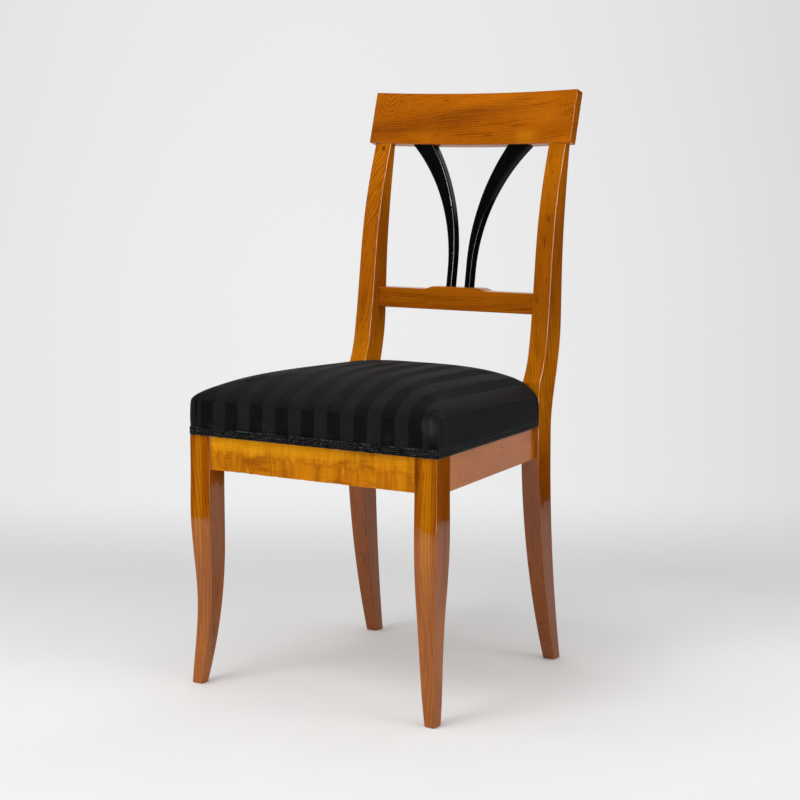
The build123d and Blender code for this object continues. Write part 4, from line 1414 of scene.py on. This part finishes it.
def joined(name, meshes, material):
    """One object from several meshes."""
    shape = bmesh.new()
    for mesh in meshes:
        shape.from_mesh(mesh)
        bpy.data.meshes.remove(mesh)
    made = bpy.data.meshes.new(name)
    shape.to_mesh(made)
    shape.free()
    made.materials.clear()
    made.materials.append(material)
    for face in made.polygons:
        face.material_index = 0
    made.shade_smooth()
    piece = bpy.data.objects.new(name, made)
    bpy.context.scene.collection.objects.link(piece)
    return piece


def band_mesh(points, low, high, thickness):
    """A flat ribbon that stands on a path, from its inner face to its outer face."""
    points = [Vector(point) for point in points]
    vertices, faces = [], []
    for number, point in enumerate(points):
        before, after = points[max(number - 1, 0)], points[min(number + 1, len(points) - 1)]
        out = (after - before).cross(Vector((0, 0, 1))).normalized()
        for depth, z in ((0, low), (thickness, low), (thickness, high), (0, high)):
            vertices.append((point.x + out.x * depth, point.y + out.y * depth, z))
    for number in range(len(points) - 1):
        a, b = number * 4, number * 4 + 4
        for step in range(4):
            following = (step + 1) % 4
            faces.append((a + step, b + step, b + following, a + following))
    faces += [(0, 1, 2, 3), tuple(reversed(range(len(vertices) - 4, len(vertices))))]
    mesh = bpy.data.meshes.new("band")
    mesh.from_pydata(vertices, [], faces)
    return mesh


class CHAIR_OT_gimp(Operator):
    """Double gimp round the seat's lower edge"""

    bl_idname = "chair.gimp"
    bl_label = "Gimp"

    def execute(self, context):
        seat = context.scene.chair_seat
        plan = SeatPlan(seat.crown)
        low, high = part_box("gimp_front_and_sides")
        black = black_cord(low.z, high.z - low.z, plan.front)
        tree = gimp_tree(black)
        outline = plan.ring(0, 0.0085, steps=12, along=60, across=60)
        start = next(n for n, (x, y) in enumerate(outline) if x > 0 and y > plan.post_front - 0.001)
        end = next(n for n in range(len(outline) - 1, 0, -1) if outline[n][0] < 0 and outline[n][1] < plan.post_front - 0.001)
        front_path = [outline[n % len(outline)] for n in range(end - len(outline), start)]
        front_path = [(x, y) for x, y in front_path if y < plan.post_front - 0.0008]
        back_low, back_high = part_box("gimp_back")
        steps = np.linspace(back_high.x, back_low.x, 40)
        back_path = [(x, back_low.y) for x in steps]
        cord = seat.cord / 2
        for name, node, path in (
            ("gimp_seat_front_and_sides", "gimp_front_and_sides", front_path),
            ("gimp_seat_back", "gimp_back", back_path),
        ):
            tall = high.z - low.z
            meshes = [band_mesh([(x, y, 0) for x, y in path], low.z + 0.0007, high.z - 0.0007, 0.0008)]
            lines = (
                (0.28, seat.loop_pitch, tall * 0.15, 0.0009, cord, 0.0),
                (0.72, seat.loop_pitch, tall * 0.15, 0.0009, cord, math.pi),
                (0.06, seat.loop_pitch * 2, 0.0002, 0.0002, cord * 0.95, 0.0),
                (0.50, seat.loop_pitch, 0.0004, 0.0003, cord * 0.9, 0.0),
                (0.94, seat.loop_pitch * 2, 0.0002, 0.0002, cord * 0.95, 0.0),
            )
            for share, pitch, height, depth, size, phase in lines:
                run = offset_path(path, 0.0012)
                points = [(x, y, low.z + tall * share) for x, y in run]
                sizes = {"Pitch": pitch, "Height": height, "Depth": depth, "Cord": size, "Phase": phase}
                meshes.append(wound_cord(tree, "cord", points, **sizes))
            piece = joined(name, meshes, black)
            finish(piece, "gimp", node)
        return {"FINISHED"}


def offset_path(path, distance):
    """A path moved outwards, to the right of its run."""
    moved = []
    for number, (x, y) in enumerate(path):
        before, after = path[max(number - 1, 0)], path[min(number + 1, len(path) - 1)]
        run = Vector((after[0] - before[0], after[1] - before[1])).normalized()
        moved.append((x + run.y * distance, y - run.x * distance))
    return moved


# Webbing and hessian


def node_islands(name):
    """The separate solids of a CAD node, each as corners and triangles."""
    places, triangles = node_arrays(name)
    _, same = np.unique(np.round(places, 6), axis=0, return_inverse=True)
    same = same.ravel()
    parent = list(range(same.max() + 1))

    def root(number):
        while parent[number] != number:
            parent[number] = parent[parent[number]]
            number = parent[number]
        return number

    for a, b, c in same[triangles]:
        parent[root(a)] = root(b)
        parent[root(b)] = root(c)
    groups = {}
    for triangle in triangles:
        groups.setdefault(root(same[triangle[0]]), []).append(triangle)
    return [(places, np.array(group)) for _, group in sorted(groups.items())]


def smoothed(values, rounds):
    """Values with their kinks softened, ends kept."""
    values = np.array(values)
    for _ in range(rounds):
        values[1:-1] = (values[:-2] + 2 * values[1:-1] + values[2:]) / 4
    return values


def strip_object(name, runs, axis, material):
    """Woven strips, each given by its middle heights at places along an axis, its two edges and its thickness."""
    vertices, faces, flat = [], [], []
    for places, middles, low, high, thickness in runs:
        base = len(vertices)
        columns = 9
        for level in (thickness / 2, -thickness / 2):
            for number, (place, middle) in enumerate(zip(places, middles)):
                for column in range(columns):
                    share = column / (columns - 1)
                    across = low + (high - low) * share
                    curl = 0.0004 * (2 * share - 1) ** 6
                    point = [0, 0, middle + level - curl]
                    point[axis], point[1 - axis] = place, across
                    vertices.append(tuple(point))
                    flat.append((across - low, place - places[0]))
        layer = len(places) * columns
        for side in range(2):
            for row in range(len(places) - 1):
                for column in range(columns - 1):
                    a = base + side * layer + row * columns + column
                    faces.append((a, a + 1, a + columns + 1, a + columns))
        rim = [*range(columns), *[row * columns + columns - 1 for row in range(1, len(places))]]
        rim += [*range(len(places) * columns - 2, (len(places) - 1) * columns - 1, -1)]
        rim += [row * columns for row in range(len(places) - 2, 0, -1)]
        for a, b in zip(rim, rim[1:] + rim[:1]):
            faces.append((base + a, base + b, base + b + layer, base + a + layer))
    piece = new_object(name, vertices, faces, material, sharp=60)
    layer = piece.data.uv_layers.new(name="Cloth")
    for loop in piece.data.loops:
        layer.data[loop.index].uv = flat[loop.vertex_index]
    face_outwards(piece)
    piece.data.shade_smooth()
    return piece


class CHAIR_OT_webbing(Operator):
    """Woven webbing and the hessian over it"""

    bl_idname = "chair.webbing"
    bl_label = "Webbing"

    def execute(self, context):
        web = jute("jute_webbing", (0.42, 0.30, 0.17), (0.17, 0.11, 0.055), 0.0016, True)
        for node, axis, rails in (
            ("webbing_lengthwise", ALONG, ["front_rail", "rear_rail"]),
            ("webbing_crosswise", ACROSS, ["side_rail_left", "side_rail_right"]),
        ):
            runs = []
            for places, triangles in node_islands(node):
                used = places[np.unique(triangles)]
                low, high = used.min(axis=0), used.max(axis=0)
                cuts = inside_span(low[axis], high[axis], 90)
                spans = cut_spans(places, triangles, axis, cuts)
                middles = smoothed((spans[:, 0, 2] + spans[:, 1, 2]) / 2, 6)
                runs.append((cuts, middles, low[1 - axis], high[1 - axis], 0.0011))
            piece = strip_object("cloth_" + node, runs, axis, web)
            finish(piece, "jute_webbing", node)
        self.hessian()
        return {"FINISHED"}

    def hessian(self):
        cloth = jute("hessian", (0.50, 0.38, 0.23), (0.20, 0.13, 0.07), 0.0022, False)
        low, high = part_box("base_hessian")
        spans = cut_spans(*node_arrays("base_hessian"), ALONG, inside_span(low.y, high.y, 60))
        cuts = inside_span(low.y, high.y, 60)
        columns = 60
        middle = (low.z + high.z) / 2
        vertices, faces, flat = [], [], []
        for level in (0.0003, -0.0003):
            for y, (left, right) in zip(cuts, spans):
                for column in range(columns):
                    x = left[0] + (right[0] - left[0]) * column / (columns - 1)
                    vertices.append((x, y, middle + level))
                    flat.append((x, y))
        layer = len(cuts) * columns
        for side in range(2):
            for row in range(len(cuts) - 1):
                for column in range(columns - 1):
                    a = side * layer + row * columns + column
                    faces.append((a, a + 1, a + columns + 1, a + columns))
        rim = [*range(columns), *[row * columns + columns - 1 for row in range(1, len(cuts))]]
        rim += [*range(len(cuts) * columns - 2, (len(cuts) - 1) * columns - 1, -1)]
        rim += [row * columns for row in range(len(cuts) - 2, 0, -1)]
        for a, b in zip(rim, rim[1:] + rim[:1]):
            faces.append((a, b, b + layer, a + layer))
        piece = new_object("cloth_base_hessian", vertices, faces, cloth, sharp=60)
        uv = piece.data.uv_layers.new(name="Cloth")
        for loop in piece.data.loops:
            uv.data[loop.index].uv = flat[loop.vertex_index]
        face_outwards(piece)
        finish(piece, "hessian", "base_hessian")


# Stage

CAMERA_PLACE = (1.6080, -2.4536, 0.8043)
CAMERA_AZIMUTH = 33.25
CAMERA_DOWN = 7.40
CAMERA_LENS = 86.34

# Where the strip light stands, in degrees from straight behind the chair towards the right
STRIP_ANGLE = 125


class CHAIR_OT_stage(Operator):
    """Pale floor, soft boxes, studio light and camera"""

    bl_idname = "chair.stage"
    bl_label = "Stage"

    def execute(self, context):
        stage = context.scene.chair_stage
        self.camera(context)
        self.floor(stage)
        for name, azimuth, height, size, share in (
            ("Soft box left", -14, 52, 1.0, 1.0),
            ("Soft box right", 88, 42, 1.0, 0.45),
        ):
            self.soft_box(name, azimuth, height, size, stage.key * share)
        self.studio(context, stage)
        context.scene.view_settings.view_transform = "Standard"
        context.scene.view_settings.look = "None"
        return {"FINISHED"}

    def camera(self, context):
        camera = bpy.data.objects.new("Camera", bpy.data.cameras.new("Camera"))
        context.scene.collection.objects.link(camera)
        camera.location = CAMERA_PLACE
        camera.rotation_euler = (math.radians(90 - CAMERA_DOWN), 0, math.radians(CAMERA_AZIMUTH))
        camera.data.lens = CAMERA_LENS
        camera.data.sensor_width = 36
        camera.data.clip_end = 60
        context.scene.camera = camera

    def floor(self, stage):
        """A white strip under the chair, as wide as the studio's paper, painted darker behind the chair where less lamp
        light falls, that melts into the backdrop behind it.
        """
        back = Vector((-math.sin(math.radians(CAMERA_AZIMUTH)), math.cos(math.radians(CAMERA_AZIMUTH)), 0))
        right = Vector((back.y, -back.x, 0))
        corners = []
        for along, aside in ((-stage.front, -1), (-stage.front, 1), (stage.behind, 1), (stage.behind, -1)):
            corners.append(back * along + right * aside * stage.front)
        s = Shader("pale_floor")
        place = s.node("TexCoord").outputs["Object"]
        along = s.vector("DOT_PRODUCT", place, tuple(back))
        aside = s.math("ABSOLUTE", s.vector("DOT_PRODUCT", place, tuple(right)))
        speck = s.noise(place, 2.2, 3)
        colour = s.mix(s.between(speck, 0.3, 0.7), (0.90, 0.90, 0.90), (0.93, 0.93, 0.93))
        # Painted shade: the floor's colour darkens from the front to behind the chair
        colour = s.mix(s.between(along, -0.15, 0.75), colour, (0.745, 0.745, 0.745))
        s.finish(colour, 0.6, s.bump(s.noise(place, 300, 2), 0.0005, 0.1), Specular_IOR_Level=0.0)
        clear = s.node("BsdfTransparent").outputs[0]
        away = s.vector("LENGTH", place)
        seen = s.math("MAXIMUM", s.between(along, 0.62, 1.55), s.between(away, 1.3, stage.front))
        mirrored = s.math("MAXIMUM", seen, s.between(aside, stage.half_width - 0.1, stage.half_width))
        gloss = s.node("LightPath").outputs["Is Glossy Ray"]
        fade = s.math("ADD", s.math("MULTIPLY", gloss, mirrored), s.math("MULTIPLY", s.math("SUBTRACT", 1.0, gloss), seen))
        blend = s.node("MixShader", {0: fade, 1: s.surface.outputs[0], 2: clear}).outputs[0]
        s.link(blend, s.output.inputs["Surface"])
        floor = new_object("Floor", corners, [(0, 1, 2, 3)], s.material, smooth=False)

    def soft_box(self, name, azimuth, height, size, power):
        lamp = bpy.data.lights.new(name, "AREA")
        lamp.shape = "SQUARE"
        lamp.size = size
        lamp.energy = power
        box = bpy.data.objects.new(name, lamp)
        bpy.context.scene.collection.objects.link(box)
        turn, lift, away = math.radians(azimuth), math.radians(height), 2.7
        aim = Vector((0, 0, 0.45))
        way = Vector((math.sin(turn) * math.cos(lift), -math.cos(turn) * math.cos(lift), math.sin(lift)))
        box.location = aim + way * away
        box.rotation_euler = way.to_track_quat("Z", "Y").to_euler()

    def studio(self, context, stage):
        """White for the camera, soft for the fill, and for gloss a dark room with the pale backdrop in it."""
        world = bpy.data.worlds.new("Studio")
        context.scene.world = world
        world.use_nodes = True
        nodes, links = world.node_tree.nodes, world.node_tree.links
        nodes.clear()

        def node(kind, inputs=None, **settings):
            made = nodes.new("ShaderNode" + kind)
            for name, value in settings.items():
                setattr(made, name, value)
            for name, value in (inputs or {}).items():
                if isinstance(value, bpy.types.NodeSocket):
                    links.new(value, made.inputs[name])
                else:
                    made.inputs[name].default_value = value
            return made

        def calc(operation, first, second=0.0):
            return node("Math", {0: first, 1: second}, operation=operation).outputs[0]

        def between(value, low, high):
            inputs = {"Value": value, "From Min": low, "From Max": high}
            return node("MapRange", inputs, interpolation_type="SMOOTHSTEP").outputs["Result"]

        way = node("SeparateXYZ", {0: node("TexCoord").outputs["Generated"]})
        path = node("LightPath")
        angle = node("Math", {0: way.outputs[0], 1: way.outputs[1]}, operation="ARCTAN2").outputs[0]
        middle = math.radians(-28)
        swing = calc("ABSOLUTE", calc("SUBTRACT", angle, middle))
        sector = calc("SUBTRACT", 1.0, between(swing, math.radians(50), math.radians(56)))
        low = calc("SUBTRACT", 1.0, between(way.outputs[2], 0.55, 0.75))
        backdrop = calc("MULTIPLY", sector, low)
        gloss = calc("ADD", calc("MULTIPLY", backdrop, stage.backdrop * 0.95), 0.012)
        aslant = calc("ABSOLUTE", calc("SUBTRACT", angle, math.radians(STRIP_ANGLE)))
        strip = calc("SUBTRACT", 1.0, between(aslant, math.radians(4.5), math.radians(6)))
        tall = calc("SUBTRACT", between(way.outputs[2], -0.30, -0.15), between(way.outputs[2], 0.75, 0.85))
        gloss = calc("ADD", gloss, calc("MULTIPLY", calc("MULTIPLY", strip, tall), stage.strip))
        front = node("VectorMath", {0: node("TexCoord").outputs["Generated"], 1: (-0.45, -0.75, 0.48)})
        front.operation = "DOT_PRODUCT"
        soft = calc("ADD", calc("MULTIPLY", front.outputs["Value"], stage.fill * 0.55), stage.fill)
        turn = math.radians(CAMERA_AZIMUTH)
        aside = node("VectorMath", {0: node("TexCoord").outputs["Generated"], 1: (math.cos(turn), math.sin(turn), 0)})
        aside.operation = "DOT_PRODUCT"
        aside = node("MapRange", {"Value": aside.outputs["Value"], "From Min": -0.24, "From Max": 0.24, "To Min": -1.2, "To Max": 1.2})
        aside = aside.outputs["Result"]
        shade = calc("SUBTRACT", calc("MULTIPLY", aside, -0.036), calc("MULTIPLY", calc("MULTIPLY", aside, aside), 0.081))
        shade = calc("SUBTRACT", shade, calc("MULTIPLY", between(way.outputs[2], -0.08, 0.12), 0.025))
        paper = calc("ADD", shade, stage.backdrop + 0.036)
        level = node("Mix", {0: path.outputs["Is Glossy Ray"], 2: soft, 3: gloss}, data_type="FLOAT").outputs[0]
        level = node("Mix", {0: path.outputs["Is Camera Ray"], 2: level, 3: paper}, data_type="FLOAT").outputs[0]
        light = node("Background", {"Color": (1.0, 1.0, 1.0, 1), "Strength": level}).outputs[0]
        links.new(light, node("OutputWorld").inputs["Surface"])


class CHAIR_PT_pieces(Panel):
    """Pieces of the chair, in the order they are made"""

    bl_idname = "CHAIR_PT_pieces"
    bl_label = "Chair"
    bl_space_type = "VIEW_3D"
    bl_region_type = "UI"
    bl_category = "Chair"

    def draw(self, context):
        for label in STEPS:
            self.layout.operator("chair." + label)
        for group in (context.scene.chair_wood, context.scene.chair_seat, context.scene.chair_stage):
            for name in type(group).__annotations__:
                self.layout.prop(group, name)


STEPS = (
    "stage",
    "front_legs",
    "rear_posts",
    "crest_rail",
    "middle_rail",
    "splats",
    "seat_frame",
    "veneer",
    "webbing",
    "stuffing",
    "seat_cover",
    "gimp",
)

SETTINGS = {"chair_wood": WoodSettings, "chair_seat": SeatSettings, "chair_stage": StageSettings}

CLASSES = (
    *SETTINGS.values(),
    CHAIR_OT_stage,
    CHAIR_OT_front_legs,
    CHAIR_OT_rear_posts,
    CHAIR_OT_crest_rail,
    CHAIR_OT_middle_rail,
    CHAIR_OT_splats,
    CHAIR_OT_seat_frame,
    CHAIR_OT_veneer,
    CHAIR_OT_webbing,
    CHAIR_OT_stuffing,
    CHAIR_OT_seat_cover,
    CHAIR_OT_gimp,
    CHAIR_PT_pieces,
)


def register():
    for kind in CLASSES:
        bpy.utils.register_class(kind)
    for name, kind in SETTINGS.items():
        setattr(bpy.types.Scene, name, PointerProperty(type=kind))


def unregister():
    for name in SETTINGS:
        delattr(bpy.types.Scene, name)
    for kind in reversed(CLASSES):
        bpy.utils.unregister_class(kind)


def main():
    register()
    for label in STEPS:
        getattr(bpy.ops.chair, label)()


if __name__ == "__main__":
    main()
